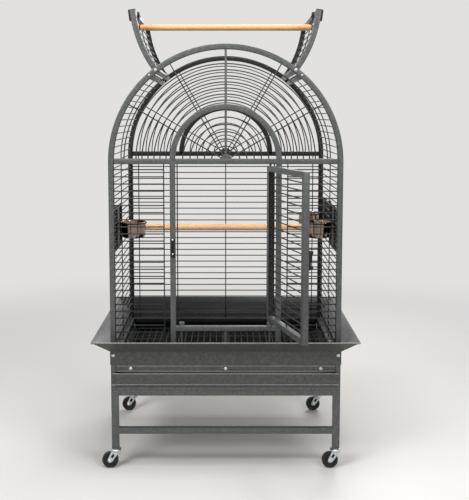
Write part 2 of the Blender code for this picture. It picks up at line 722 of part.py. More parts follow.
def build_door():
    """The door on its two pins, half open, with its wires and its latch."""
    hinge = pivot("door_axis", (HINGE_X, FRONT_Y, 0), DOOR_OPEN)
    far = -DOOR_SPAN
    loops = [rectangle(far - HALF, DOOR_BOTTOM_Z, HALF, DOOR_TOP_Z),
             rectangle(far + HALF, DOOR_BOTTOM_Z + TUBE, -HALF, DOOR_TOP_Z - TUBE)]
    frame = place("door_frame", outline_mesh("door_frame", loops, TUBE), POWDER, FRONT, hinge)
    foot = SILL_Z + HALF + GAP
    low = rod_mesh("lower pin", (0, 0, foot), (0, 0, DOOR_BOTTOM_Z + HALF), PIN / 2, 12)
    high = rod_mesh("upper pin", (0, 0, DOOR_TOP_Z - HALF), (0, 0, BAR_Z), PIN / 2, 12)
    combine(frame, "UNION", helper(low, parent=hinge), helper(high, parent=hinge))
    inner_low, inner_high = DOOR_BOTTOM_Z + TUBE + GAP, DOOR_TOP_Z - TUBE - GAP
    wires = wire_panel("door_mesh", (far + HALF + GAP, -HALF - GAP, inner_low, inner_high), bars([far / 2]),
                       bars(spread(inner_low, inner_high, PITCH)))
    thicken(place("door_mesh", wires, MESH, FRONT, hinge), WIRE)

    face = -HALF - GAP
    plate = box_mesh("latch_body", (far - LATCH_WIDTH / 2, face - LATCH_THICK, LATCH_Z - LATCH_HEIGHT / 2),
                     (far + LATCH_WIDTH / 2, face, LATCH_Z + LATCH_HEIGHT / 2))
    place("latch_body", plate, BLACK_COAT, parent=hinge)
    turn = pivot("latch_axis", (far, face - LATCH_THICK - GAP, LATCH_Z), parent=hinge)
    half = LATCH_WIDTH / 2 - GAP
    lever = arc(0, 0, half, math.pi, 2 * math.pi, ARC_STEP * 2)
    tip = arc(0, LEVER_LENGTH - half, LEVER_TIP_RADIUS, 0, math.pi, ARC_STEP * 2)
    place("latch_lever", outline_mesh("latch_lever", [lever + tip], LEVER_THICK), BLACK_COAT,
          at(y=-LEVER_THICK / 2) @ FRONT, turn)
    front = FRONT_Y - HALF - GAP
    wide, high = KEEPER_WIDTH / 2, KEEPER_HEIGHT / 2
    keeper = box_mesh("latch_keeper", (-JAMB_X - wide, front - KEEPER_THICK, KEEPER_Z - high),
                      (-JAMB_X + wide, front, KEEPER_Z + high))
    place("latch_keeper", keeper, BLACK_COAT)


def build_roof_leaf(name, side):
    """One leaf of the roof, modelled shut and turned open about its bolts."""
    hinge_x, hinge_z = roof_point(side, LEAF_HINGE_ANGLE)
    hinge = pivot(name + "_leaf_axis", (hinge_x, MID_Y, hinge_z), side * LEAF_OPEN, "Y")
    home = at(-hinge_x, 0, -hinge_z)
    low = LEAF_HINGE_ANGLE + HALF / HOOP_RADIUS
    tip = LEAF_TIP_ANGLE
    fine = ARC_STEP / 2
    right = math.pi / 2
    outer, inner = HOOP_RADIUS + HALF, HOOP_RADIUS - HALF
    rim = arc(0, SPRING_Z, outer, right - low, right - tip, fine)
    rim += arc(0, SPRING_Z, inner, right - tip, right - low, fine)
    loop = [(side * x, z) for x, z in rim]
    reach = DEPTH_CC / 2 - LEAF_Y
    title = name + "_leaf_frame"
    frame = place(title, outline_mesh(title, [loop], TUBE), POWDER, home @ at(y=-reach) @ FRONT, hinge)
    parts = [helper(outline_mesh(title + " rear arc", [loop], TUBE), home @ at(y=reach) @ FRONT, hinge)]
    for angle in (LEAF_HINGE_ANGLE, tip + (HALF + GAP) / HOOP_RADIUS):
        x, z = roof_point(side, angle)
        bar = box_mesh(title + " cross bar", (-CROSS / 2, -reach, -CROSS / 2), (CROSS / 2, reach, CROSS / 2))
        parts.append(helper(bar, home @ at(x, 0, z) @ Matrix.Rotation(side * angle, 4, "Y"), hinge))
    for end in (-1, 1):
        inside, outside = end * reach, end * (DEPTH_CC / 2 + HALF + SWING_GAP)
        bolt_end = outside + end * BOLT_HEAD_HEIGHT / 2
        bolt = rod_mesh(title + " bolt", (0, inside, 0), (0, bolt_end, 0), PIN / 2, 12)
        head = rod_mesh(title + " bolt head", (0, outside, 0), (0, outside + end * BOLT_HEAD_HEIGHT, 0),
                        BOLT_HEAD_RADIUS, 12)
        parts += [helper(bolt, parent=hinge), helper(head, parent=hinge)]
    lug = [(0, -SWING_GAP), (0, LUG_HEIGHT), (LUG_LENGTH, LUG_HEIGHT), (LUG_LENGTH, -SWING_GAP),
           (LUG_LENGTH - WIRE, -SWING_GAP), (LUG_LENGTH - WIRE, LUG_HEIGHT - WIRE), (WIRE, LUG_HEIGHT - WIRE),
           (WIRE, -SWING_GAP)]
    x, z = roof_point(side, tip + WIRE / HOOP_RADIUS, outer)
    grip = outline_mesh(title + " grip", [[(side * a, b) for a, b in lug]], LUG_WIDTH)
    lean = side * (tip + LUG_LENGTH / 2 / outer)
    parts.append(helper(grip, home @ at(x, -reach, z) @ Matrix.Rotation(lean, 4, "Y") @ FRONT, hinge))
    combine(frame, "UNION", *parts)

    title = name + "_leaf_mesh"
    start = HOOP_RADIUS * (right - LEAF_HINGE_ANGLE) + CROSS / 2 + GAP
    stop = HOOP_RADIUS * (right - tip) - HALF - CROSS / 2 - 2 * GAP
    bent = roof_mesh(title, side, reach - HALF - GAP, start, stop, spread(start, stop, PITCH))
    thicken(place(title, bent, MESH, home, hinge), WIRE)


def build_roof_perch():
    """The perch across the open roof: a dowel with a steel hook on each end, over the leaves' end tubes."""
    y = FRONT_Y + ROOF_PERCH_DEPTH
    hinge_x, hinge_z = roof_point(1, LEAF_HINGE_ANGLE)
    tip_x, tip_z = roof_point(1, LEAF_TIP_ANGLE + (HALF + GAP) / HOOP_RADIUS)
    bar_x, bar_z = hinge_x + (tip_z - hinge_z), hinge_z - (tip_x - hinge_x)
    lean = LEAF_TIP_ANGLE + HALF / HOOP_RADIUS
    span = CROSS / 2 * (math.cos(lean) + math.sin(lean))
    top = bar_z + span + GAP
    inside = bar_x - span - SWING_GAP - HOOK_THICK
    outside = bar_x + span + SWING_GAP
    middle = top - ROOF_PERCH_DROP
    low = middle - ROOF_PERCH_RADIUS
    ends = [(side * (inside - GAP), y, middle) for side in (-1, 1)]
    place("roof_perch", rod_mesh("roof_perch", *ends, ROOF_PERCH_RADIUS, 12), DOWEL)
    for name, side in (("left", -1), ("right", 1)):
        hook = [(inside, low), (inside + HOOK_THICK, low),
                (inside + HOOK_THICK, top), (outside, top), (outside, top - HOOK_LEG),
                (outside + HOOK_THICK, top - HOOK_LEG), (outside + HOOK_THICK, top + HOOK_THICK),
                (inside, top + HOOK_THICK)]
        title = name + "_perch_hook"
        loop = [(side * x, z) for x, z in hook]
        place(title, outline_mesh(title, [loop], HOOK_WIDTH), BLACK_COAT, at(y=y) @ FRONT)


def build_inner_perch():
    """The dowel across the cage, side to side."""
    half = POST_X - WIRE / 2 - GAP
    mesh = rod_mesh("inner_perch", (-half, MID_Y, PERCH_Z), (half, MID_Y, PERCH_Z), PERCH_RADIUS, 12)
    place("inner_perch", mesh, PALE_DOWEL)


def bowl_mesh(name):
    """Half a section of the bowl, which a Screw modifier turns."""
    foot, rim = BOWL_FOOT_RADIUS, BOWL_RADIUS + BOWL_RIM
    floor = BOWL_WALL - BOWL_HEIGHT
    profile = [(0, floor), (foot - BOWL_WALL, floor), (BOWL_RADIUS - BOWL_WALL, 0), (rim, 0), (rim, -BOWL_WALL),
               (BOWL_RADIUS, -BOWL_LIP), (foot, -BOWL_HEIGHT), (0, -BOWL_HEIGHT)]
    work = bmesh.new()
    verts = [work.verts.new((x, 0, z)) for x, z in profile]
    for one, other in zip(verts, verts[1:]):
        work.edges.new((one, other))
    mesh = bpy.data.meshes.new(name)
    work.to_mesh(mesh)
    work.free()
    return mesh


def build_feeder(name, side, depth):
    """A feeder: a boxed door outside the opening, hinged at its rear edge, with a holder and a bowl."""
    y = FRONT_Y + depth
    z = (ROWS[FEEDER_LOW_ROW] + ROWS[FEEDER_LOW_ROW + FEEDER_ROWS]) / 2
    face = POST_X + WIRE / 2 + GAP
    half = FEEDER_OPENING / 2
    rim = half + FEEDER_FLANGE
    box = half - SHEET
    hinge_x = face + FEEDER_WALL
    hinge_y = y + rim + SHEET
    hinge = pivot(name + "_feeder_axis", (side * hinge_x, hinge_y, 0))
    home = at(-side * hinge_x, y - hinge_y, z)
    title = name + "_feeder_door"
    hole = box - SHEET
    flange = [rectangle(-rim, -rim, rim, rim), rectangle(-hole, -hole, hole, hole)]
    door = place(title, outline_mesh(title, flange, FEEDER_WALL), POWDER,
                 home @ at(side * (face + FEEDER_WALL / 2)) @ SIDE, hinge)
    inner = box - FEEDER_WALL
    walls = [rectangle(-box, -box, box, box), rectangle(-inner, -inner, inner, inner)]
    wall = outline_mesh(title + " box", walls, FEEDER_BOX)
    wall_x = face + SHEET + FEEDER_BOX / 2
    slots = spread(-inner, inner, PITCH)
    panel = [rectangle(-box + GAP, -box + GAP, box - GAP, box - GAP)]
    for middle in slots:
        panel.append(rectangle(-inner + FEEDER_WALL, middle - PITCH / 2 + WIRE / 2, inner - FEEDER_WALL,
                               middle + PITCH / 2 - WIRE / 2))
    cover = outline_mesh(title + " cover", panel, FEEDER_WALL)
    barrel = rod_mesh(title + " barrel", (0, 0, z - half), (0, 0, z + half), FEEDER_WALL, 8)
    combine(door, "UNION", helper(wall, home @ at(side * wall_x) @ SIDE, hinge),
            helper(cover, home @ at(side * (face + SHEET + FEEDER_BOX)) @ SIDE, hinge),
            helper(barrel, parent=hinge))

    bowl_x = side * (POST_X - BOWL_INSET)
    ring_z = BOWL_RIM_Z - BOWL_LIP - GAP - HOLDER_THICK / 2
    bore = BOWL_RADIUS + GAP
    outer = bore + HOLDER_BAND
    plate_x = side * (face + FEEDER_WALL / 2)
    cut = math.asin(HOLDER_TAB / 2 / outer)
    ring = arc(0, 0, outer, cut, 2 * math.pi - cut, 2 * math.pi / BOWL_SIDES)
    ring = [(bowl_x + side * px, py) for px, py in ring]
    ring += [(plate_x, -HOLDER_TAB / 2), (plate_x, HOLDER_TAB / 2)]
    title = name + "_bowl_holder"
    loops = [ring, circle(bowl_x, 0, bore / math.cos(math.pi / BOWL_SIDES), BOWL_SIDES)]
    seat = at(-side * hinge_x, y - hinge_y, ring_z)
    holder = place(title, outline_mesh(title, loops, HOLDER_THICK), BLACK_COAT, seat, hinge)
    tall = inner - GAP
    plate = box_mesh(title + " plate", (-FEEDER_WALL / 2, -HOLDER_TAB, -tall),
                     (FEEDER_WALL / 2, HOLDER_TAB, tall))
    combine(holder, "UNION", helper(plate, home @ at(plate_x), hinge))

    title = name + "_bowl"
    spot = at(bowl_x - side * hinge_x, y - hinge_y, BOWL_RIM_Z)
    bowl = place(title, bowl_mesh(title), STEEL_PLAIN, spot, hinge)
    turn = bowl.modifiers.new("Turned", "SCREW")
    turn.steps = turn.render_steps = BOWL_SIDES
    turn.use_merge_vertices = True
    turn.merge_threshold = 0.0001


def fork_mesh():
    """A caster's swivelling fork, with its axle, from the leg down."""
    top = LEG_FOOT_Z - GAP
    low = top - RACE_HEIGHT
    inner = WHEEL_WIDTH / 2 + FORK_SIDE_GAP
    outer = inner + FORK_PLATE
    race = place("race", rod_mesh("race", (0, 0, low), (0, 0, top), RACE_RADIUS, 12), None)
    deck = box_mesh("deck", (-BRIDGE_HALF, -outer, low - BRIDGE_HEIGHT), (BRIDGE_HALF, outer, low + GAP))
    boss = AXLE
    side = [(BRIDGE_HALF - GAP, low), (BRIDGE_HALF - GAP, low - FORK_SHOULDER),
            (boss - CASTER_TRAIL, WHEEL_RADIUS - boss / 2), (-CASTER_TRAIL, WHEEL_RADIUS - boss),
            (-boss - CASTER_TRAIL, WHEEL_RADIUS - boss / 2), (-boss - CASTER_TRAIL, WHEEL_RADIUS + boss / 2),
            (GAP - BRIDGE_HALF, low)]
    parts = [helper(deck)]
    for way in (-1, 1):
        middle = way * (inner + outer) / 2
        parts.append(helper(outline_mesh("fork side", [side], FORK_PLATE), at(y=middle) @ FRONT))
    tip = outer + SHEET
    axle = rod_mesh("axle", (-CASTER_TRAIL, -tip, WHEEL_RADIUS), (-CASTER_TRAIL, tip, WHEEL_RADIUS), AXLE / 2, 8)
    parts.append(helper(axle))
    combine(race, "UNION", *parts)
    graph = bpy.context.evaluated_depsgraph_get()
    mesh = bpy.data.meshes.new_from_object(race.evaluated_get(graph))
    bpy.data.objects.remove(race)
    return mesh


def build_casters():
    """Four swivel casters, all trailing to the left."""
    fork = fork_mesh()
    sides = WHEEL_SIDES
    bore = circle(0, 0, AXLE / 2 + PIN_PLAY, 12)
    tread = circle(0, 0, WHEEL_RADIUS / math.cos(math.pi / sides), sides, math.pi / sides - math.pi / 2)
    wheel = outline_mesh("wheel", [tread, bore], WHEEL_WIDTH)
    wide, deep = CAGE_WIDTH / 2 - LEG / 2, CAGE_DEPTH / 2 - LEG / 2
    for name, x, y in (("front_left", -wide, -deep), ("front_right", wide, -deep),
                       ("rear_left", -wide, deep), ("rear_right", wide, deep)):
        swivel = pivot(name + "_swivel_axis", (x, MID_Y + y, 0))
        place(name + "_fork", fork, ZINC_PLATE, parent=swivel)
        axle = pivot(name + "_wheel_axis", (-CASTER_TRAIL, 0, WHEEL_RADIUS), parent=swivel)
        place(name + "_wheel", wheel, TYRE, FRONT, axle)


clear_scene()
CAGE = collection("bird_cage")
CUTTERS = collection("cutters")
POWDER = material("hammered grey powder coat", GREY, 0.42, 0.35)
SHEET_GREY = material("grey coated sheet", GREY, 0.45, 0.35)
SHEET_DARK = material("dark coated sheet", DARK_GREY, 0.5, 0.3)
MESH = material("grey coated wire", DARK_GREY, 0.45, 0.35)
BLACK_COAT = material("black fittings", BLACK, 0.45, 0.1)
STEEL_PLAIN = material("stainless steel", STEEL, 0.18, 1.0)
ZINC_PLATE = material("bright zinc", ZINC, 0.28, 1.0)
DOWEL = material("varnished dowel", WOOD, 0.5, 0.0)
PALE_DOWEL = material("pale dowel", WOOD, 0.55, 0.0)
TYRE = material("black wheel", RUBBER, 0.55, 0.0)

ROWS = spread(RAIL_TOP_Z, BAR_BOTTOM_Z, PITCH)
SIDE_UPRIGHTS = [0.0]
LEFT_FEEDERS = [FEEDER_FRONT_DEPTH]
RIGHT_FEEDERS = [FEEDER_FRONT_DEPTH, FEEDER_REAR_DEPTH]

build_hoops()
build_front_frame()
build_flat_meshes()
build_side_meshes()
build_guards()
build_base()
build_tray()
build_grate()
build_door()
build_roof_leaf("left", -1)
build_roof_leaf("right", 1)
build_roof_perch()
build_inner_perch()
build_feeder("left", -1, FEEDER_FRONT_DEPTH)
build_feeder("right", 1, FEEDER_FRONT_DEPTH)
build_feeder("rear", 1, FEEDER_REAR_DEPTH)
build_casters()
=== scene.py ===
"""Dressed model of a round-topped parrot cage on casters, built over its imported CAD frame.

Every piece rides on a body of the frame and stands where the CAD node it replaces stands, in metres.
"""
import json
from math import asin, atan2, copysign, cos, pi, radians, sin, sqrt

import bmesh
import bpy
from bpy.props import FloatProperty, FloatVectorProperty, PointerProperty
from bpy.types import Operator, Panel, PropertyGroup
from mathutils import Matrix, Vector


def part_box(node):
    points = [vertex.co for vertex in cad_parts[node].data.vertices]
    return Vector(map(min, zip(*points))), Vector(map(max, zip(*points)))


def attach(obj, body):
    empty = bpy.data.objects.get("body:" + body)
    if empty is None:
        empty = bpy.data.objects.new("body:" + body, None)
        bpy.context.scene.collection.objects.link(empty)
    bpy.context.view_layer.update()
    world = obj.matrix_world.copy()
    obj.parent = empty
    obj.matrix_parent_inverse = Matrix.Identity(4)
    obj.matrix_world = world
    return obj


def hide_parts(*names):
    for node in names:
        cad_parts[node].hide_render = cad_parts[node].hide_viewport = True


bl_info = {
    "name": "Bird cage",
    "version": (1, 0, 0),
    "blender": (4, 5, 0),
    "location": "View3D > Sidebar > Cage",
    "description": "Builds a parrot cage of welded tube and wire over its CAD frame",
    "category": "Add Mesh",
}

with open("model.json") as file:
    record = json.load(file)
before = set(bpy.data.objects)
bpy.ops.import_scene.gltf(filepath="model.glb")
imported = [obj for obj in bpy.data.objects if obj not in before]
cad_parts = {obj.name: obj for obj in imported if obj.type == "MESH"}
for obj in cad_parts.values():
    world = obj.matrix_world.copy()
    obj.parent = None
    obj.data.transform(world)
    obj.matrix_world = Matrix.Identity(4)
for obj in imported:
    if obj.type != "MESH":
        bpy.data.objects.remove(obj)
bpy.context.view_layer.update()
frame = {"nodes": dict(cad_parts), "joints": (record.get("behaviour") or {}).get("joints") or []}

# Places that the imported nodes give
HOOP_LOW, HOOP_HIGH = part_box("front_hoop")
REAR_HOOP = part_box("rear_hoop")
BAR_LOW, BAR_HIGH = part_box("rear_spring_bar")
TUBE = HOOP_HIGH.y - HOOP_LOW.y
HALF = TUBE / 2
FRONT_Y = (HOOP_LOW.y + HOOP_HIGH.y) / 2
REAR_Y = (REAR_HOOP[0].y + REAR_HOOP[1].y) / 2
MID_Y = (FRONT_Y + REAR_Y) / 2
DEPTH = REAR_Y - FRONT_Y
POST_X = HOOP_HIGH.x - HALF
POST_FOOT_Z = HOOP_LOW.z
SPRING_Z = HOOP_HIGH.z - HALF - POST_X
INNER_X = BAR_HIGH.x
RAIL_TOP_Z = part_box("right_base_rail")[1].z
BAR_BOTTOM_Z, BAR_TOP_Z = BAR_LOW.z, BAR_HIGH.z
BAR_Z = (BAR_BOTTOM_Z + BAR_TOP_Z) / 2
LEG_FOOT_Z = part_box("front_legs")[0].z
JOINTS = {joint["name"]: joint for joint in frame["joints"]}

# Sizes that the CAD nodes share, in metres
PITCH = 0.025
JAMB_X = 0.1845
ARCH_Z = 1.104
SILL_Z = 0.5105
HINGE_X = 0.155
PIN_RADIUS = 0.0035
STOP_X = 0.169
DOOR_SPAN = 0.316
DOOR_BOTTOM_Z, DOOR_TOP_Z = 0.558, 1.066
DOOR_TURN = radians(107)
LEAF_HINGE = radians(37.1)
LEAF_TIP = radians(4.9)
FEEDERS = (("left", -1, 0.185), ("right", 1, 0.185), ("rear", 1, 0.465))
FEEDER_HALF = 0.075
FEEDER_ROWS = 14, 20
CASTERS = ("front_left", "front_right", "rear_left", "rear_right")
CHEEK_Y = 0.0128

# Places of what the nodes don't have, or have elsewhere, in metres
INNER_RINGS = [0.049 + 0.025 * number for number in range(5)]
OUTER_RINGS = {"front": [0.2069 + 0.0207 * number for number in range(8)],
               "rear": [0.2075 + 0.025 * number for number in range(7)]}
SPOKES = [radians(a) for a in (30, 60, 90, 120, 150)]
HUB_RADIUS = 0.021
REAR_UPRIGHT_X = 0.364
GUARD_SCREW_Z, LEG_PLUG_Z = 0.416, 0.441
GRATE_SCREW_X, GRATE_SCREW_Z = 0.336, 0.368
TRAY_FRONT_Z = 0.309
KEEPER_SCREWS_Z = 0.7775, 0.8275
LATCH_KNOBS_Z = 0.784, 0.832
# Each lamp's place and edge in metres, and its watts
LAMPS = (("key lamp", (-1.35, -1.75, 2.6), 1.0, 46), ("fill lamp", (1.45, -1.9, 2.3), 1.0, 26),
         ("top lamp", (0.1, -0.5, 3.0), 1.2, 42), ("rear lamp", (0.9, 2.2, 2.2), 1.4, 34))
LAMPS_AIM = Vector((0, 0.1, 0.9))
# The camera's shift, in shares of the picture's width
CAMERA_SHIFT = 0.0176, -0.1142
# How far a wire's end runs into the tube that it is welded to
SINK = 0.002
# Where a side's wires start and end
WIRE_FRONT, WIRE_BACK = FRONT_Y + HALF - SINK, REAR_Y - HALF + SINK
# Radius of the folded edge of a sheet
HEM = 0.0014
# Rounding of the edges of thin stamped plate, and of the legs' tube
PLATE_EDGE = 0.0006
LEG_EDGE = 0.0016


def ink(code):
    """A colour written as sRGB hex, in linear light."""
    parts = [int(code[i:i + 2], 16) / 255 for i in (1, 3, 5)]
    return tuple(c / 12.92 if c <= 0.04045 else ((c + 0.055) / 1.055) ** 2.4 for c in parts)


def colour(name, description, code):
    """A colour that the panel shows."""
    return FloatVectorProperty(name=name, description=description, default=ink(code), size=3,
                               min=0, max=1, subtype="COLOR")


def length(name, description, metres):
    """A length that the panel shows."""
    return FloatProperty(name=name, description=description, default=metres, min=0, unit="LENGTH")


class CageSizes(PropertyGroup):
    """Sizes of the tube, the wire and the fasteners."""
    corner: length("Tube corner", "Radius of the rounded corner of the square tube", 0.0022)
    wire: length("Wire", "Thickness of the welded wire", 0.0042)
    lap: length("Wire lap", "How far crossing wires lie in front of each other", 0.0022)
    sheet_edge: length("Sheet edge", "Rounding of the edges of folded sheet", 0.0005)
    screw: length("Screw head", "Radius of a pan head", 0.0058)


class CageColours(PropertyGroup):
    """Colours of the finishes."""
    powder: colour("Powder coat", "Hammered grey of the tube", "#575959")
    wire: colour("Wire coat", "Grey of the welded wire", "#262828")
    # A painted highlight: the pale coat on folded edges and on small screw and bolt heads
    hem: colour("Hem", "Painted highlight along folded edges and on small heads", "#A2A4A3")
    # Painted light: the paler tone stands for light from above on the side guards' inner faces
    guard: colour("Guard coat", "Paler tone of the side guards' inner faces", "#676968")
    sheet: colour("Sheet coat", "Grey of the folded sheet", "#4F504E")
    # The same dark coat is also painted shade on faces that look into the cage
    tray: colour("Tray coat", "Dark grey of the tray", "#191A1A")
    black: colour("Black coat", "Latch, hooks and bowl holders", "#070707")
    zinc: colour("Zinc plate", "Screws and caster forks", "#C8CCD1")
    # The bowls' colour is darker and browner than bare steel: a painted reflection of the floor and of the
    # dark cage
    steel: colour("Stainless steel", "Bowls", "#9C8D80")
    dowel: colour("Varnished dowel", "Perch across the roof", "#D9A26B")
    pale_dowel: colour("Pale dowel", "Perch inside", "#F2C08C")
    wheel: colour("Wheel", "Black of the caster wheels", "#0B0B0C")


class CageStage(PropertyGroup):
    """Floor, backdrop and camera."""
    floor: colour("Floor", "Pale studio floor", "#DFDDDA")
    backdrop: colour("Backdrop", "Glow of the backdrop behind the cage", "#E2E1DF")
    distance: length("Camera distance", "From the camera to the cage's front", 2.739)
    height: length("Camera height", "Height of the camera over the floor", 1.257)
    lens: FloatProperty(name="Lens", description="Focal length", default=57.06, min=1, unit="CAMERA")
    tilt: FloatProperty(name="Tilt", description="How far the camera looks down", subtype="ANGLE",
                        default=radians(5.55))


def sizes():
    """The sizes that the panel holds."""
    return bpy.context.scene.cage_sizes


def colours():
    """The colours that the panel holds."""
    return bpy.context.scene.cage_colours


# Shapes

def outline(work, matrix, size, corner=0.0, sides=0):
    """A flat face for sweep to draw out, square with rounded corners or round, and its edges."""
    if sides:
        made = bmesh.ops.create_circle(work, cap_ends=True, segments=sides, radius=size / 2, matrix=matrix)
    else:
        made = bmesh.ops.create_grid(work, x_segments=1, y_segments=1, size=size / 2, matrix=matrix)
        made = bmesh.ops.bevel(work, geom=made["verts"], offset=corner, segments=3, profile=0.5, material=-1)
    return list(made["verts"][0].link_faces[0].edges)


def sweep(work, edges, *moves):
    """Draw an outline out and close its end. A move is a vector, or a bend's (centre, axis, angle, steps)."""
    for move in moves:
        if isinstance(move, Vector):
            grown = bmesh.ops.extrude_edge_only(work, edges=edges)["geom"]
            ends = {g for g in grown if isinstance(g, bmesh.types.BMVert)}
            bmesh.ops.translate(work, vec=move, verts=list(ends))
            edges = [g for g in grown if isinstance(g, bmesh.types.BMEdge) and ends.issuperset(g.verts)]
        else:
            centre, axis, angle, steps = move
            grown = bmesh.ops.spin(work, geom=edges, cent=centre, axis=axis, angle=angle, steps=steps)
            edges = [g for g in grown["geom_last"] if isinstance(g, bmesh.types.BMEdge)]
    bmesh.ops.contextual_create(work, geom=edges)


def arch_tube(work, x, y, foot, spring):
    """A square tube that runs up one side, over in a half circle and down the other."""
    edges = outline(work, at(x, y, foot), TUBE, sizes().corner)
    rise = Vector((0, 0, spring - foot))
    sweep(work, edges, rise, ((0, y, spring), (0, -1, 0), pi, 72), -rise)


def rod(work, start, end, radius, sides=8):
    """A straight round bar between two points."""
    start, end = Vector(start), Vector(end)
    turn = (end - start).to_track_quat("Z", "Y").to_matrix().to_4x4()
    bmesh.ops.create_cone(work, cap_ends=True, segments=sides, radius1=radius, radius2=radius,
                          depth=(end - start).length, matrix=Matrix.Translation((start + end) / 2) @ turn)


def block(work, low, high, edge, matrix=Matrix.Identity(4)):
    """A bar or plate between two corners, with its edges rounded."""
    low, high = Vector(low), Vector(high)
    place = matrix @ Matrix.Translation((low + high) / 2) @ Matrix.Diagonal((*(high - low), 1))
    made = bmesh.ops.create_cube(work, size=1, matrix=place)
    edges = list({e for v in made["verts"] for e in v.link_edges})
    bmesh.ops.bevel(work, geom=edges, offset=edge, segments=3, profile=0.5,
                    affect="EDGES", clamp_overlap=True, material=-1)


def as_mesh(work, name):
    """The finished shape as a mesh."""
    mesh = bpy.data.meshes.new(name)
    work.to_mesh(mesh)
    work.free()
    return mesh


def turned(profile, steps=24):
    """A mesh spun right round +Z from (radius, height) points."""
    work = bmesh.new()
    verts = [work.verts.new((r, 0, h)) for r, h in profile]
    edges = [work.edges.new(pair) for pair in zip(verts, verts[1:])]
    bmesh.ops.spin(work, geom=[*verts, *edges], cent=(0, 0, 0), axis=(0, 0, 1), angle=2 * pi,
                   steps=steps, use_merge=True)
    bmesh.ops.remove_doubles(work, verts=work.verts, dist=0.000001)
    return as_mesh(work, "turned")


def small(profile, steps=24):
    """A mesh spun right round +Z from (radius, height) points in millimetres."""
    return turned([(r / 1000, h / 1000) for r, h in profile], steps)


def at(x, y, z):
    """A place that is moved and not turned."""
    return Matrix.Translation((x, y, z))


def stamp(work, mesh, matrix):
    """Add a copy of a mesh at a place."""
    copy = mesh.copy()
    copy.transform(matrix)
    work.from_mesh(copy)
    bpy.data.meshes.remove(copy)


def stamped(mesh, places, work=None):
    """Copies of a mesh at the places, added to a shape or as a new one. The mesh itself is dropped."""
    if work is None:
        work = bmesh.new()
    for place in places:
        stamp(work, mesh, place)
    bpy.data.meshes.remove(mesh)
    return work


def facing(spot, direction):
    """A place whose +Z looks along a direction."""
    return Matrix.Translation(spot) @ Vector(direction).to_track_quat("Z", "Y").to_matrix().to_4x4()


def screw_mesh():
    """A pan head with a round recess in it, for a screw that is driven along -Z."""
    r = sizes().screw
    return turned([(0, 0.45 * r), (0.3 * r, 0.45 * r), (0.36 * r, 0.72 * r), (0.7 * r, 0.62 * r),
                   (0.93 * r, 0.35 * r), (r, 0.1 * r), (r, -0.1 * r), (0, -0.1 * r)], 16)


def screws(spots, scale=1.0):
    """Pan heads of one size, at pairs of a place and the direction that the head faces."""
    return stamped(screw_mesh(), [facing(spot, way) @ Matrix.Scale(scale, 4) for spot, way in spots])


def bead_mesh():
    """A blob of weld, half sunk where a wire meets a tube."""
    work = bmesh.new()
    bmesh.ops.create_icosphere(work, subdivisions=1, radius=0.8 * sizes().wire)
    return as_mesh(work, "bead")


def from_cad(node, edge):
    """A copy of a CAD node's shape with its flat faces made whole and its edges rounded."""
    work = bmesh.new()
    work.from_mesh(frame["nodes"][node].data)
    bmesh.ops.remove_doubles(work, verts=work.verts, dist=0.00001)
    bmesh.ops.dissolve_limit(work, angle_limit=radians(1), verts=work.verts, edges=work.edges)
    sharp = [e for e in work.edges if e.is_manifold and e.calc_face_angle() > radians(40)]
    bmesh.ops.bevel(work, geom=sharp, offset=edge, segments=2, profile=0.5,
                    affect="EDGES", clamp_overlap=True, material=-1)
    return work


def linked(name, data):
    """An object of the scene that holds the data."""
    made = bpy.data.objects.new(name, data)
    bpy.context.scene.collection.objects.link(made)
    return made


def keep(work, name, body, slot, nodes=(), matrix=None, look=None):
    """Make the finished shape a piece that rides on a body and stands for CAD nodes, in its slot's finish."""
    if matrix:
        bmesh.ops.transform(work, matrix=matrix, verts=work.verts)
    bmesh.ops.recalc_face_normals(work, faces=work.faces)
    mesh = as_mesh(work, name)
    mesh.materials.append(look or slot_finish(slot))
    mesh.shade_smooth()
    mesh.set_sharp_from_angle(angle=radians(38))
    piece = linked(name, mesh)
    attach(piece, body)
    if nodes:
        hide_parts(*nodes)
    return piece


def dress(node, name, body, slot, edge):
    """Keep a CAD node's own shape, with its edges rounded, as the piece that stands for it."""
    return keep(from_cad(node, edge), name, body, slot, [node])


def inside(piece, chosen, key="tray"):
    """Give a second coat to the faces that chosen picks by their middle and direction: painted shade where it
    is the dark tray coat, painted light where it is the guards' paler coat.
    """
    piece.data.materials.append(coat(key))
    for face in piece.data.polygons:
        if chosen(face.center, face.normal):
            face.material_index = 1


def looks_forward(_middle, normal):
    """Whether a face of a tube at the rear looks into the cage."""
    return normal.y < -0.5


def centre_of(node):
    """The middle of a CAD node's box."""
    low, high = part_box(node)
    return (low + high) / 2


def spread(low, high, pitch):
    """Places at a pitch between two limits, with equal margins at the ends."""
    count = int((high - low) / pitch)
    first = (low + high - (count - 1) * pitch) / 2
    return [first + i * pitch for i in range(count)]


ROWS = spread(RAIL_TOP_Z, BAR_BOTTOM_Z, PITCH)


# Finishes

def result(node):
    """The first of a node's outputs that is in use."""
    return next(socket for socket in node.outputs if socket.enabled)


def add(tree, kind, inputs=None, **settings):
    """Add a node with its settings, and with each input as a value or the node or socket that feeds it."""
    made = tree.nodes.new("ShaderNode" + kind)
    if kind == "Mix":
        made.data_type = "RGBA"
    for name, value in settings.items():
        setattr(made, name, value)
    for name, value in (inputs or {}).items():
        if isinstance(value, bpy.types.Node):
            value = result(value)
        if isinstance(value, bpy.types.NodeSocket):
            tree.links.new(value, made.inputs[name])
        else:
            made.inputs[name].default_value = value
    return made


def watched(tree):
    """1 for what the camera sees straight, in a reflection or through a clear piece, and 0 for light."""
    ray = add(tree, "LightPath")
    either = add(tree, "Math", {0: ray.outputs["Is Camera Ray"], 1: ray.outputs["Is Glossy Ray"]},
                 operation="MAXIMUM")
    return add(tree, "Math", {0: either, 1: ray.outputs["Is Transmission Ray"]}, operation="MAXIMUM")


def shade(rgb, factor):
    """A colour made darker or lighter, with its alpha."""
    return (*[min(1.0, c * factor) for c in rgb], 1.0)


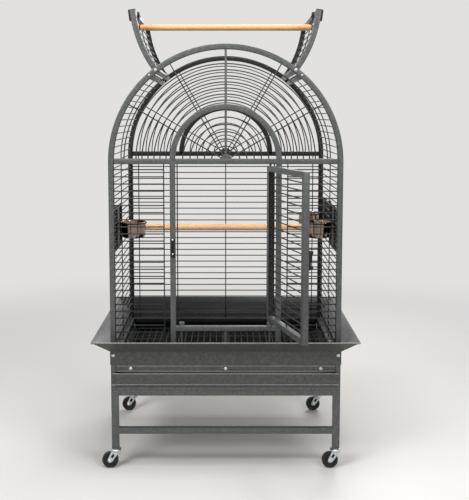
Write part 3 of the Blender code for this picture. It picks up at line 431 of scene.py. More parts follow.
def finish(name, metallic, build, gloss=None, relief=None):
    """The named material, made once.

    build gives the node of its colour, and the two that gloss, the range of its roughness, and relief, the
    strength and height of its bumps, work on.
    """
    if name in bpy.data.materials:
        return bpy.data.materials[name]
    made = bpy.data.materials.new(name)
    made.use_nodes = True
    tree = made.node_tree
    shader = tree.nodes["Principled BSDF"]
    shader.inputs["Metallic"].default_value = metallic
    made_of = list(build(tree, shader, add(tree, "TexCoord").outputs["Object"]))
    if gloss:
        made_of[1] = add(tree, "MapRange", {"Value": made_of[1], **gloss})
        made_of[2] = add(tree, "Bump", {"Height": made_of[2], "Strength": relief[0], "Distance": relief[1]})
    for key, node in zip(("Base Color", "Roughness", "Normal"), made_of):
        tree.links.new(result(node), shader.inputs[key])
    return made


def cells(millimetres):
    """The scale at which a noise or cell texture repeats over a real size."""
    return 1000 / millimetres


# Each powder coat under its colour's key: name, metallic, roughness, dimples' millimetres and relief
COATS = {
    # Sprayed and baked on square tube: hammered, so it glints in small flecks
    "powder": ("Hammered grey powder coat", 0.3, 0.38, 8.0, 0.35),
    # On drawn wire, where the film is thinner and smoother than on the tube
    "wire": ("Grey powder coat on drawn wire", 0.3, 0.38, 4.0, 0.12),
    # On folded sheet: wider dimples that catch the light along each fold
    "sheet": ("Grey powder coat on folded sheet", 0.3, 0.4, 10.0, 0.25),
    # On the side guards' inner faces: the sheet's coat, in a paler tone that was matched; the paleness is
    # painted light, for the light from above that falls on these faces
    "guard": ("Pale powder coat on the guards", 0.3, 0.36, 9.0, 0.2),
    # Where a sheet's edge is folded back: thin and pale, a painted highlight, so that the fold shows as a
    # light line. The same painted highlight goes on small screw and bolt heads
    "hem": ("Powder coat rubbed pale on hems", 0.5, 0.34, 6.0, 0.1),
    # On the pull-out sheets: darker and dull. It also stands for shade on faces that look into the cage
    "tray": ("Dark powder coat on tray sheet", 0.25, 0.46, 7.0, 0.2),
    # On stamped steel fittings: semi-gloss black
    "black": ("Black coat on stamped steel", 0.0, 0.5, 6.0, 0.1),
}


def coat(key):
    """A cured powder coat: the film pools in shallow dimples, so it glints softly and mottles a little.

    A hammered film has dimples of about 1.5 mm, drawn at 4 to 10 mm so that they show in the render: each is
    1 to 3 of its pixels.
    """
    name, metallic, rough, grain, relief = COATS[key]
    rgb = getattr(colours(), key)

    def build(tree, shader, place):
        shader.inputs["Specular IOR Level"].default_value = 0.35
        dimples = add(tree, "TexVoronoi", {"Vector": place, "Scale": cells(grain)}, feature="SMOOTH_F1")
        dust = add(tree, "TexNoise", {"Vector": place, "Scale": cells(140), "Detail": 3.0, "Roughness": 0.6})
        tone = add(tree, "MapRange", {"Value": dimples, "From Min": 0.1, "From Max": 0.75, "To Max": 0.7})
        cloud = add(tree, "MapRange", {"Value": dust, "From Min": 0.3, "From Max": 0.7})
        flecks = add(tree, "Mix", {0: tone, 6: shade(rgb, 0.72), 7: shade(rgb, 1.5)})
        patches = add(tree, "Mix", {0: tone, 6: shade(rgb, 0.86), 7: shade(rgb, 1.3)})
        mottled = add(tree, "Mix", {0: cloud, 6: flecks, 7: patches})
        return mottled, dust, dimples
    gloss = {"From Min": 0.3, "From Max": 0.7, "To Min": rough - 0.05, "To Max": rough + 0.07}
    return finish(name, metallic, build, gloss, (relief, 0.0006))


def zinc():
    """Bright zinc plate: a clear pale metal with a faint blue and yellow bloom of about 9 mm."""
    def build(tree, _shader, place):
        rgb = colours().zinc
        bloom = add(tree, "TexNoise", {"Vector": place, "Scale": cells(9), "Detail": 4.0, "Distortion": 0.8})
        blue = (rgb[0] * 0.93, rgb[1], rgb[2] * 1.04, 1.0)
        yellow = (rgb[0] * 1.03, rgb[1] * 0.98, rgb[2] * 0.88, 1.0)
        tint = add(tree, "Mix", {0: bloom, 6: blue, 7: yellow})
        return tint, bloom, bloom
    return finish("Bright zinc plate", 1.0, build, {"To Min": 0.18, "To Max": 0.4}, (0.15, 0.0003))


def steel():
    """Stainless steel spun into bowls: a clear reflection, softened by turning marks round the wall. Its
    colour is darker and browner than bare steel: a painted reflection of the floor and of the dark cage.
    """
    def build(tree, _shader, place):
        # This colour carries a painted reflection of the floor and of the dark cage
        rgb = colours().steel
        # Turning marks lie closer than 1 mm; drawn at 5 mm so that they don't flicker at this size
        marks = add(tree, "Mapping", {"Vector": place, "Scale": (4.0, 4.0, cells(5))})
        rings = add(tree, "TexNoise", {"Vector": marks, "Scale": 1.0})
        tone = add(tree, "Mix", {0: rings, 6: shade(rgb, 0.9), 7: shade(rgb, 1.05)})
        return tone, rings, rings
    return finish("Spun stainless steel", 1.0, build, {"To Min": 0.12, "To Max": 0.2}, (0.05, 0.0002))


def wood(name, rgb, rough, contrast):
    """Turned hardwood dowel: long grain lines of about 3 mm with fine pores, which run along the perch."""
    def build(tree, _shader, place):
        long = add(tree, "Mapping", {"Vector": place, "Scale": (cells(160), cells(3), cells(3))})
        grain = add(tree, "TexNoise", {"Vector": long, "Scale": 1.0, "Detail": 5.0, "Distortion": 0.6})
        fine = add(tree, "Mapping", {"Vector": place, "Scale": (cells(30), cells(1), cells(1))})
        pores = add(tree, "TexNoise", {"Vector": fine, "Scale": 1.0})
        tone = add(tree, "MapRange", {"Value": grain, "From Min": 0.32, "From Max": 0.68})
        body = add(tree, "Mix", {0: tone, 6: shade(rgb, 1 - contrast), 7: shade(rgb, 1 + contrast / 2)})
        dark = add(tree, "MapRange", {"Value": pores, "From Min": 0.58, "From Max": 0.72, "To Max": 0.35})
        face = add(tree, "Mix", {0: dark, 6: body, 7: shade(rgb, 0.55)})
        return face, grain, pores
    return finish(name, 0.0, build, {"To Min": rough - 0.06, "To Max": rough + 0.1}, (0.2, 0.0003))


def wheel_plastic():
    """Moulded hard rubber wheel: satin black, scuffed paler in small patches on the tread."""
    def build(tree, _shader, place):
        rgb = colours().wheel
        scuff = add(tree, "TexNoise", {"Vector": place, "Scale": cells(12), "Detail": 6.0, "Roughness": 0.7})
        worn = add(tree, "MapRange", {"Value": scuff, "From Min": 0.5, "From Max": 0.75})
        tone = add(tree, "Mix", {0: worn, 6: shade(rgb, 1.0), 7: shade(rgb, 1.8)})
        return tone, scuff, scuff
    return finish("Moulded black wheel", 0.0, build, {"To Min": 0.38, "To Max": 0.62}, (0.2, 0.0004))


def floor_paint(stage):
    """Matt paint, faintly clouded, that runs into the backdrop's colour away from the cage."""
    def build(tree, shader, place):
        shader.inputs["Roughness"].default_value = 0.6
        cloud = add(tree, "TexNoise", {"Vector": place, "Scale": cells(900)})
        tone = add(tree, "Mix", {0: cloud, 6: shade(stage.floor, 0.97), 7: shade(stage.floor, 1.02)})
        # The backdrop's colour shows in view and in reflections only, and throws no light on the cage
        reach = add(tree, "VectorMath", {0: place}, operation="LENGTH")
        fade = add(tree, "MapRange", {"Value": reach, "From Min": 1.1, "From Max": 3.6},
                   interpolation_type="SMOOTHSTEP")
        share = add(tree, "Math", {0: watched(tree), 1: fade}, operation="MULTIPLY")
        glow = add(tree, "Emission", {"Color": (*stage.backdrop, 1.0)})
        both = add(tree, "MixShader", {0: share, 1: shader, 2: glow})
        tree.links.new(both.outputs[0], tree.nodes["Material Output"].inputs["Surface"])
        return [tone]
    return finish("Matt painted floor", 0.0, build)


def slot_finish(slot):
    """The finish of a slot's pieces, where a piece isn't given another."""
    coats = {"powder_coat": "powder", "coated_wire": "wire", "coated_sheet": "sheet", "dark_sheet": "tray",
             "black_fittings": "black"}
    others = {"zinc_plate": zinc, "stainless_steel": steel, "wheel_plastic": wheel_plastic}
    return coat(coats[slot]) if slot in coats else others[slot]()


# Pieces

class AddStage(Operator):
    """Add the floor with its backdrop, the lamps and the camera."""
    bl_idname = "cage.add_stage"
    bl_label = "Stage"

    def execute(self, context):
        stage = context.scene.cage_stage
        work = bmesh.new()
        bmesh.ops.create_grid(work, x_segments=1, y_segments=1, size=40)
        floor = linked("floor", as_mesh(work, "floor"))
        floor.data.materials.append(floor_paint(stage))

        world = bpy.data.worlds.new("Soft daylight")
        context.scene.world = world
        world.use_nodes = True
        tree = world.node_tree
        sky = tree.nodes["Background"]
        sky.inputs["Color"].default_value = (*ink("#FFFFFF"), 1.0)
        sky.inputs["Strength"].default_value = 0.27
        wall = add(tree, "Background", {"Color": (*stage.backdrop, 1.0)})
        both = add(tree, "MixShader", {0: watched(tree), 1: sky, 2: wall})
        tree.links.new(both.outputs[0], tree.nodes["World Output"].inputs["Surface"])
        for name, spot, size, power in LAMPS:
            lamp = bpy.data.lights.new(name, "AREA")
            lamp.size = size
            lamp.energy = power
            holder = linked(name, lamp)
            holder.location = spot
            holder.rotation_euler = (LAMPS_AIM - holder.location).to_track_quat("-Z", "Y").to_euler()

        camera = linked("camera", bpy.data.cameras.new("camera"))
        camera.data.lens = stage.lens
        camera.data.shift_x, camera.data.shift_y = CAMERA_SHIFT
        camera.location = (0, FRONT_Y - stage.distance, stage.height)
        camera.rotation_euler = (pi / 2 - stage.tilt, 0, 0)
        context.scene.camera = camera
        context.scene.view_settings.view_transform = "Standard"
        return {"FINISHED"}


def door_surround():
    """The jambs and arch round the door, with its rail, bar, sill, rods and pin cups."""
    work = bmesh.new()
    rail_z, cross = RAIL_TOP_Z - HALF, HALF - 0.0005
    arch_tube(work, JAMB_X, FRONT_Y, rail_z, ARCH_Z)
    for half, z in ((INNER_X, rail_z), (INNER_X, BAR_Z), (JAMB_X, SILL_Z)):
        block(work, (-half, FRONT_Y - cross, z - HALF), (half, FRONT_Y + cross, z + HALF), sizes().corner)
    for x, radius in ((-HINGE_X, PIN_RADIUS), (0, 2 * PIN_RADIUS), (HINGE_X, PIN_RADIUS)):
        rod(work, (x, FRONT_Y, rail_z), (x, FRONT_Y, SILL_Z), radius, 16)
    cup = small([(4.6, 0), (4.6, 12.4), (5.2, 13), (9.2, 13), (10, 12.2), (10, 2), (12.2, 0), (4.6, 0)])
    stamped(cup, [at(x, FRONT_Y, SILL_Z + HALF) for x in (-HINGE_X, HINGE_X)], work)
    keep(work, "door_surround_tube", "cage", "powder_coat", ["door_surround"])


def door_stop():
    """The wire that is bent under the door's opening."""
    work = bmesh.new()
    wire = sizes().wire
    y = FRONT_Y + HALF + wire / 2
    edges = outline(work, at(-STOP_X, y, BAR_Z), wire, sides=10)
    bend = 0.006
    down = Vector((0, 0, SILL_Z + bend - BAR_Z))
    turns = [((x, y, SILL_Z + bend), (0, -1, 0), pi / 2, 6) for x in (bend - STOP_X, STOP_X - bend)]
    sweep(work, edges, down, turns[0], Vector((2 * (STOP_X - bend), 0, 0)), turns[1], -down)
    keep(work, "door_stop_bent_wire", "cage", "coated_wire", ["door_stop_wire"])


class AddFrame(Operator):
    """Add the bent hoops, the frame round the door and the straight bars of square tube."""
    bl_idname = "cage.add_frame"
    bl_label = "Tube frame"

    def execute(self, context):
        def looks_in(middle, normal):
            """Whether a face of the front hoop looks into the cage."""
            inward = Vector((middle.x, 0, max(0, middle.z - SPRING_Z))).normalized()
            return normal.dot(inward) < -0.7

        for name, y, chosen in (("front", FRONT_Y, looks_in), ("rear", REAR_Y, looks_forward)):
            work = bmesh.new()
            arch_tube(work, POST_X, y, POST_FOOT_Z, SPRING_Z)
            # Faces of the hoops that look into the cage get the dark tray coat, as painted shade
            inside(keep(work, name + "_hoop_tube", "cage", "powder_coat", [name + "_hoop"]), chosen)
        for node in ("rear_spring_bar", "left_roof_rail", "right_roof_rail"):
            bar = dress(node, node + "_tube", "cage", "powder_coat", sizes().corner)
            if node == "rear_spring_bar":
                # Its faces that look into the cage get the dark tray coat, as painted shade
                inside(bar, looks_forward)
        rails = [centre_of(side + "_roof_rail") for side in ("left", "right")]
        heads = screws([((rail.x, y, rail.z), (0, way, 0)) for rail in rails
                        for y, way in ((FRONT_Y - HALF, -1), (REAR_Y + HALF, 1))], 0.75)
        # The screws' heads get the pale coat, a painted highlight
        keep(heads, "roof_rail_screws", "cage", "powder_coat", look=coat("hem"))
        door_surround()
        door_stop()
        return {"FINISHED"}


def side_panel(name, side, thin, lap, bead):
    """One side's straight wires, with the feeders' openings left out."""
    x = side * POST_X
    holes = [(FRONT_Y + depth - FEEDER_HALF, FRONT_Y + depth + FEEDER_HALF)
             for _, way, depth in FEEDERS if way == side]
    first, last = FEEDER_ROWS
    work = bmesh.new()
    for number, z in enumerate(ROWS):
        cuts = [WIRE_FRONT, WIRE_BACK]
        if first < number < last:
            cuts[1:1] = [end for hole in holes for end in hole]
        for start, end in zip(cuts[::2], cuts[1::2]):
            rod(work, (x, start, z), (x, end, z), thin)
        for y in (WIRE_FRONT, WIRE_BACK):
            stamp(work, bead, at(x, y, z))
        stamp(work, bead, at(x + side * lap / 2, MID_Y, z) @ Matrix.Scale(0.8, 4))
    x += side * lap
    for low, high in holes:
        for y in (low - thin, high + thin):
            rod(work, (x, y, ROWS[first] - thin), (x, y, ROWS[last] + thin), thin)
    rod(work, (x, MID_Y, RAIL_TOP_Z - SINK), (x, MID_Y, SPRING_Z), thin)
    keep(work, name + "_side_wires", "cage", "coated_wire", [name + "_side_mesh"])


def roof_panel(name, side, thin, lap, bead):
    """One side's wires above the spring line, where it is bent in to the roof rail."""
    top = asin(min(1, (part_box(name + "_roof_mesh")[1].z - SPRING_Z) / POST_X))
    step = PITCH / POST_X
    turn = (ROWS[-1] + PITCH - SPRING_Z) / POST_X
    work = bmesh.new()
    while turn < top - step / 2:
        x, z = side * POST_X * cos(turn), SPRING_Z + POST_X * sin(turn)
        rod(work, (x, WIRE_FRONT, z), (x, WIRE_BACK, z), thin)
        for y in (WIRE_FRONT, WIRE_BACK):
            stamp(work, bead, at(x, y, z))
        turn += step
    foot = at(side * (POST_X + lap), MID_Y, SPRING_Z)
    sweep(work, outline(work, foot, 2 * thin, sides=8), ((0, MID_Y, SPRING_Z), (0, -side, 0), top + 0.02, 24))
    keep(work, name + "_roof_wires", "cage", "coated_wire", [name + "_roof_mesh"])


class AddPanels(Operator):
    """Add the flat and bent panels of welded wire."""
    bl_idname = "cage.add_panels"
    bl_label = "Wire panels"

    def execute(self, context):
        thin, lap, bead = sizes().wire / 2, sizes().lap, bead_mesh()
        stile = JAMB_X + HALF + 0.021
        low, high = RAIL_TOP_Z - SINK, BAR_BOTTOM_Z + SINK
        reach = INNER_X + SINK
        for name, y, out, left, right, uprights in (
                ("front_mesh_left", FRONT_Y, -1, -reach, -stile, [-stile]),
                ("front_mesh_right", FRONT_Y, -1, stile, reach, [stile]),
                ("rear_mesh", REAR_Y, 1, -reach, reach, [-REAR_UPRIGHT_X, 0, REAR_UPRIGHT_X])):
            work = bmesh.new()
            for z in ROWS:
                rod(work, (left, y, z), (right, y, z), thin)
                for x in (left, right):
                    if abs(x) > INNER_X:
                        stamp(work, bead, at(copysign(INNER_X, x), y, z))
            for x in uprights:
                rod(work, (x, y + out * lap, low), (x, y + out * lap, high), thin)
                for z in ROWS:
                    stamp(work, bead, at(x, y + out * lap / 2, z) @ Matrix.Scale(0.8, 4))
            keep(work, name + "_wires", "cage", "coated_wire", [name])
        for name, side in (("left", -1), ("right", 1)):
            side_panel(name, side, thin, lap, bead)
            roof_panel(name, side, thin, lap, bead)
        bpy.data.meshes.remove(bead)
        return {"FINISHED"}


def ring(work, y, radius):
    """One bent wire that stands on the spring bar at both ends."""
    foot = asin((BAR_TOP_Z - 0.001 - ARCH_Z) / radius)
    spot = (radius * cos(foot), y, ARCH_Z + radius * sin(foot))
    turn = Matrix.Rotation(-foot, 4, "Y")
    edges = outline(work, at(*spot) @ turn, sizes().wire, sides=8)
    steps = max(20, round(radius * 150))
    sweep(work, edges, ((0, y, ARCH_Z), (0, -1, 0), pi - 2 * foot, steps))


def fan_hub(name, y, look=None):
    """The small half disc in the middle of a fan."""
    disc = bmesh.new()
    bmesh.ops.create_cone(disc, cap_ends=True, segments=40, radius1=HUB_RADIUS, radius2=HUB_RADIUS,
                          depth=2.5 * sizes().wire, matrix=facing((0, y, ARCH_Z), (0, -1, 0)))
    cut = bmesh.ops.bisect_plane(disc, geom=[*disc.verts, *disc.edges, *disc.faces], clear_outer=True,
                                 plane_co=(0, 0, BAR_TOP_Z), plane_no=(0, 0, -1))
    bmesh.ops.holes_fill(disc, edges=[e for e in cut["geom_cut"] if isinstance(e, bmesh.types.BMEdge)])
    keep(disc, name + "_fan_hub", "cage", "coated_wire", look=look)


class AddFans(Operator):
    """Add the half-round fans of bent wire rings and straight spokes."""
    bl_idname = "cage.add_fans"
    bl_label = "Wire fans"

    def execute(self, context):
        lap = sizes().lap
        hub_in, hoop_in = 0.7 * HUB_RADIUS, POST_X - HALF
        arch_in, arch_out = JAMB_X - HALF, JAMB_X + HALF
        drop = ARCH_Z - SPRING_Z
        uprights = bmesh.new()
        for name, y, out, low, high in (
                ("front_fan_inner", FRONT_Y, -1, hub_in, arch_in),
                ("front_fan_outer", FRONT_Y, -1, arch_out, hoop_in),
                ("rear_fan", REAR_Y, 1, hub_in, hoop_in)):
            work = bmesh.new()
            for radius in (*INNER_RINGS, *OUTER_RINGS[name.split("_")[0]]):
                if low < radius < high:
                    ring(work, y, radius)
            for spoke in SPOKES:
                way = Vector((cos(spoke), 0, sin(spoke)))
                base = Vector((0, y + out * lap, ARCH_Z))
                end = high
                if high == hoop_in:
                    end = sqrt(high ** 2 - (drop * way.x) ** 2) - drop * way.z
                # The upright in the middle is a thin tube, and the other spokes are wire
                upright = spoke == radians(90)
                rod(uprights if upright else work, base + way * (low - SINK), base + way * (end + SINK),
                    sizes().wire * (0.95 if upright else 0.5))
            keep(work, name + "_wires", "cage", "coated_wire", [name])
        keep(uprights, "fan_uprights", "cage", "powder_coat")
        fan_hub("front", FRONT_Y, coat("powder"))
        fan_hub("rear", REAR_Y)
        work = bmesh.new()
        arch_tube(work, JAMB_X, REAR_Y, BAR_Z, ARCH_Z)
        # Its faces that look into the cage get the dark tray coat, as painted shade
        inside(keep(work, "rear_arch_tube", "cage", "powder_coat"), looks_forward)
        return {"FINISHED"}


class AddBase(Operator):
    """Add the seed guards, the base rails, the stand and their screws."""
    bl_idname = "cage.add_base"
    bl_label = "Base and stand"

    def execute(self, context):
        edge = sizes().sheet_edge
        hems = bmesh.new()
        for side in ("front", "rear", "left", "right"):
            node = side + "_seed_guard"
            guard = dress(node, node + "_sheet", "cage", "coated_sheet", edge)
            if side != "front":
                # Painted shade on the rear guard's upward faces (dark tray coat), and painted light on the
                # side guards' upward faces (paler guard coat)
                inside(guard, lambda middle, normal: normal.z > 0.3, "tray" if side == "rear" else "guard")
            low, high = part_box(node)
            start, end = {"front": (low, (high.x, low.y)), "rear": ((low.x, high.y), high),
                          "left": (low, (low.x, high.y)), "right": ((high.x, low.y), high)}[side]
            z = high.z - 0.001
            rod(hems, (*start[:2], z), (*end[:2], z), HEM)
        # The folded lips' pale coat is a painted highlight
        keep(hems, "seed_guard_hems", "cage", "coated_sheet", look=coat("hem"))
        for node, inward in (("left_base_rail", (1, 0, 0)), ("right_base_rail", (-1, 0, 0)),
                             ("rear_base_rail", (0, -1, 0))):
            rail = dress(node, node + "_sheet", "cage", "powder_coat", edge)
            # The rails' inward faces get the dark tray coat, as painted shade
            inside(rail, lambda middle, normal: normal.dot(inward) > 0.5)
        for node in ("stand_top", "front_legs", "rear_legs"):
            dress(node, node + "_tube", "cage", "powder_coat", LEG_EDGE)
        proud = HALF + 0.0016
        heads = screws([((x, y, GUARD_SCREW_Z), (0, way, 0)) for x in (-POST_X, POST_X)
                        for y, way in ((FRONT_Y - proud, -1), (REAR_Y + proud, 1))], 1.2)
        keep(heads, "guard_screws", "cage", "zinc_plate")
        work = screws([((x, FRONT_Y - HALF, LEG_PLUG_Z), (0, -1, 0)) for x in (-POST_X, POST_X)])
        insert = small([(0, 0), (9.5, 0), (10.5, 1), (10.5, 3), (0, 3)], 20)
        low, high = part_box("stand_top")
        leg = 0.0125
        feet = [at(x - copysign(leg, x), y - copysign(leg, y - MID_Y), LEG_FOOT_Z - 0.0015)
                for x in (low.x, high.x) for y in (low.y, high.y)]
        keep(stamped(insert, feet, work), "stand_plugs", "cage", "black_fittings")
        return {"FINISHED"}


def tray_pieces():
    """The tray with its hemmed front."""
    low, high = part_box("tray")
    dress("tray", "tray_sheet", "tray", "dark_sheet", 0.0004)
    work = bmesh.new()
    block(work, (low.x, low.y - 0.0006, TRAY_FRONT_Z), (high.x, low.y + 0.0002, high.z), 0.0002)
    keep(work, "tray_front_sheet", "tray", "coated_sheet")
    work = bmesh.new()
    for z in (TRAY_FRONT_Z + HEM, high.z - HEM):
        rod(work, (low.x, low.y - 0.0004, z), (high.x, low.y - 0.0004, z), HEM)
    # The hems' pale coat is a painted highlight
    keep(work, "tray_hems", "tray", "coated_sheet", look=coat("hem"))


def grate_pieces():
    """The grate: wires on two side bars, with a hemmed strip in front."""
    low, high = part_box("grate")
    wire = sizes().wire
    z, front, back, wide = low.z + wire, low.y + wire, high.y - wire, high.x - 0.0035
    work = bmesh.new()
    block(work, (low.x, low.y, low.z), (high.x, low.y + 0.003, high.z), 0.0008)
    keep(work, "grate_front_strip", "grate", "coated_sheet", ["grate"])
    work = bmesh.new()
    for level in (low.z + HEM, high.z - HEM):
        rod(work, (low.x, low.y, level), (high.x, low.y, level), 0.8 * HEM)
    # The hems' pale coat is a painted highlight
    keep(work, "grate_strip_hems", "grate", "coated_sheet", look=coat("hem"))
    work = bmesh.new()
    for x in (-wide + wire, wide - wire):
        block(work, (x - wire, front, z - wire / 2), (x + wire, back, z + wire / 2), PLATE_EDGE)
    for y in (front + wire / 2, back):
        rod(work, (-wide + wire, y, z), (wide - wire, y, z), wire / 2)
    for y in spread(front, back, 0.16):
        rod(work, (-wide + wire, y, z - 0.001), (wide - wire, y, z - 0.001), wire / 2)
    for x in spread(2 * wire - wide, wide - 2 * wire, PITCH):
        rod(work, (x, front, z + 0.0008), (x, back, z + 0.0008), wire / 2)
    keep(work, "grate_wires", "grate", "coated_wire")
    heads = screws([((x, low.y, GRATE_SCREW_Z), (0, -1, 0)) for x in (-GRATE_SCREW_X, 0, GRATE_SCREW_X)], 1.2)
    keep(heads, "grate_screws", "grate", "zinc_plate")


class AddTray(Operator):
    """Add the pull-out tray and the wire grate over it."""
    bl_idname = "cage.add_tray"
    bl_label = "Tray and grate"

    def execute(self, context):
        tray_pieces()
        grate_pieces()
        return {"FINISHED"}


def hung():
    """The door's place, from where it is shut to where it hangs open on its pins."""
    spot = Vector(JOINTS["door_hinge"]["pos_m"])
    return at(spot.x, spot.y, 0) @ Matrix.Rotation(DOOR_TURN, 4, "Z")


class AddDoor(Operator):
    """Add the door, its wires, its latch and the keeper on the jamb."""
    bl_idname = "cage.add_door"
    bl_label = "Door and latch"

    def execute(self, context):
        thin, lap = sizes().wire / 2, sizes().lap
        tube = dress("door_frame", "door_tube", "door", "powder_coat", sizes().corner)
        shut = hung().inverted()
        # The hinge stile's inner face gets the dark tray coat, as painted shade
        inside(tube, lambda middle, normal: (shut.to_3x3() @ normal).x < -0.9 and (shut @ middle).x > -TUBE)
        far, near = -DOOR_SPAN + HALF - SINK, -HALF + SINK
        rows = spread(DOOR_BOTTOM_Z, DOOR_TOP_Z, PITCH)
        work = bmesh.new()
        for z in rows:
            rod(work, (far, 0, z), (near, 0, z), thin)
        half = -DOOR_SPAN / 2
        rod(work, (half, -lap, DOOR_BOTTOM_Z - SINK), (half, -lap, DOOR_TOP_Z + SINK), thin)
        keep(work, "door_wires", "door", "coated_wire", ["door_mesh"], hung())
        # Black heads where the wires end in the hinge stile: the wire ends are real, and their black is
        # painted shade where the wires enter the stile
        ends = screws([((-HALF, 0, z), (-1, 0, 0)) for z in rows], 0.75)
        keep(ends, "door_wire_ends", "door", "black_fittings", matrix=hung())

        dress("latch_body", "latch_plate", "door", "black_fittings", 0.0016)
        dress("latch_lever", "latch_thumb_lever", "latch_lever", "black_fittings", 0.0008)
        dress("latch_keeper", "keeper_plate", "cage", "black_fittings", 0.0008)
        x, y = centre_of("latch_keeper").x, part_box("latch_keeper")[0].y
        heads = screws([((x, y, z), (0, -1, 0)) for z in KEEPER_SCREWS_Z], 0.6)
        keep(heads, "keeper_screws", "cage", "zinc_plate")
        knob = small([(4.5, -1), (4.5, 3), (6.2, 4.2), (6.6, 6.6), (5, 8.2), (0, 8.6)], 20)
        face = -HALF - 0.0083
        knobs = stamped(knob, [facing((-DOOR_SPAN, face, z), (0, -1, 0)) for z in LATCH_KNOBS_Z])
        keep(knobs, "latch_knobs", "door", "black_fittings", matrix=hung())
        return {"FINISHED"}


def dowel(node, name, body, end, look, sides=32):
    """A turned perch along X in a CAD node's box, with an end that is a list of (radius share, inset)."""
    low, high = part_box(node)
    r, span = (high.z - low.z) / 2, high.x - low.x
    profile = [(share * r, inset) for share, inset in end]
    profile += [(share * r, span - inset) for share, inset in reversed(end)]
    place = facing((low.x, *centre_of(node)[1:]), (1, 0, 0))
    keep(stamped(turned(profile, sides), [place]), name, body, "perch_wood", [node], look=look)


def roof_leaf(name, side):
    """One leaf, made shut on the round of the roof and then turned open about its bolts."""
    body = name + "_leaf"
    pivot = Vector((side * POST_X * sin(LEAF_HINGE), MID_Y, SPRING_Z + POST_X * cos(LEAF_HINGE)))
    opened = at(*pivot) @ Matrix.Rotation(side * pi / 2, 4, "Y") @ at(*-pivot)
    reach = DEPTH / 2 - TUBE - 0.001
    centre = Vector((0, MID_Y, SPRING_Z))
    bend_axis = (0, -side, 0)
    upright = Matrix.Rotation(pi / 2, 4, "Y")

    def across(angle):
        """The roof's middle, turned so that its +Z points at an angle from the top."""
        return at(*centre) @ Matrix.Rotation(side * angle, 4, "Y")

    work = bmesh.new()
    corner = sizes().corner
    start = LEAF_HINGE + HALF / POST_X
    for y in (-reach, reach):
        place = across(start) @ at(0, y, POST_X) @ upright
        sweep(work, outline(work, place, TUBE, corner), (centre, bend_axis, start - LEAF_TIP, 28))
    half = 0.009
    for angle in (LEAF_HINGE, LEAF_TIP + (HALF + 0.0003) / POST_X):
        block(work, (-half, -reach, POST_X - half), (half, reach, POST_X + half), corner, across(angle))
    bolts = bmesh.new()
    for end in (-1, 1):
        near, far = pivot.y + end * reach, pivot.y + end * (DEPTH / 2 + HALF + 0.001)
        rod(work, (pivot.x, near, pivot.z), (pivot.x, far, pivot.z), 0.004, 16)
        head = small([(0, -1), (5.5, -1), (5.5, 1.8), (4.2, 3), (2, 3.4), (0, 3)])
        stamped(head, [facing((pivot.x, far, pivot.z), (0, end, 0))], bolts)
    # The bolts' heads get the pale coat, a painted highlight
    keep(bolts, body + "_bolts", body, "powder_coat", matrix=opened, look=coat("hem"))
    tubes = keep(work, body + "_tube", body, "powder_coat", [body + "_frame"], opened)
    # The tubes' faces that look in towards the leaf's middle get the dark tray coat, as painted shade
    inside(tubes, lambda middle, normal: normal.y * (MID_Y - middle.y) > 0.5 * (reach - TUBE))

    # The strap outside the tip, its thin end plate, and the screws on the tip's inner face
    work = bmesh.new()
    strap = (across(LEAF_TIP + 0.019 / (POST_X + HALF)) @ at(0, -reach, POST_X + HALF)
             @ Matrix.Scale(side, 4, (1, 0, 0)))
    block(work, (-0.0195, -0.0085, -0.001), (0.0185, 0.0085, 0.006), 0.0025, strap)
    block(work, (-0.0205, -0.0085, -0.019), (-0.0185, 0.0085, 0.004), PLATE_EDGE, strap)
    tip, turn = across(LEAF_TIP + HALF / POST_X), Matrix.Rotation(pi, 4, "X")
    stamped(screw_mesh(), [
        tip @ at(0, end * (reach - inset), POST_X - HALF) @ turn @ Matrix.Scale(scale, 4)
        for inset, scale in ((0.06, 1.7), (0.12, 0.9)) for end in (-1, 1)], work)
    keep(work, body + "_grip", body, "black_fittings", matrix=opened)

    work = bmesh.new()
    wire = sizes().wire
    near = LEAF_HINGE * POST_X - half
    tip = LEAF_TIP * POST_X + HALF + half
    for along in spread(tip, near, PITCH):
        rod(work, *[across(along / POST_X) @ Vector((0, end * (reach - HALF + SINK), POST_X))
                    for end in (-1, 1)], wire / 2)
    place = across(near / POST_X) @ at(0, 0, POST_X + sizes().lap) @ upright
    sweep(work, outline(work, place, wire, sides=8), (centre, bend_axis, (near - tip) / POST_X, 16))
    keep(work, body + "_wires", body, "coated_wire", [body + "_mesh"], opened)


class AddLeaves(Operator):
    """Add the two hinged leaves of the roof and the perch that lies across them."""
    bl_idname = "cage.add_leaves"
    bl_label = "Roof leaves"

    def execute(self, context):
        roof_leaf("left", -1)
        roof_leaf("right", 1)
        dowel("roof_perch", "roof_perch_dowel", "roof_perch", [(0, 0), (0.55, 0), (0.8, 0.0012), (1, 0.009)],
              wood("Varnished beech dowel", colours().dowel, 0.42, 0.14))
        for node in ("left_perch_hook", "right_perch_hook"):
            dress(node, node + "_strap", "roof_perch", "black_fittings", PLATE_EDGE)
        return {"FINISHED"}


class AddInnerPerch(Operator):
    """Add the dowel across the inside, with a bolt through each side's wires."""
    bl_idname = "cage.add_inner_perch"
    bl_label = "Inner perch"

    def execute(self, context):
        dowel("inner_perch", "inner_perch_dowel", "cage", [(0, 0), (0.9, 0), (1, 0.0015)],
              wood("Plain birch dowel", colours().pale_dowel, 0.55, 0.1))
        washer = small([(0, 0), (12.5, 0), (12.5, 1.2), (6.5, 1.2), (6.5, 5), (5, 6.2), (0, 6.2)], 6)
        x, (_, y, z) = POST_X + 0.0015, centre_of("inner_perch")
        bolts = stamped(washer, [facing((side * x, y, z), (side, 0, 0)) for side in (-1, 1)])
        keep(bolts, "perch_bolts", "cage", "zinc_plate")
        return {"FINISHED"}


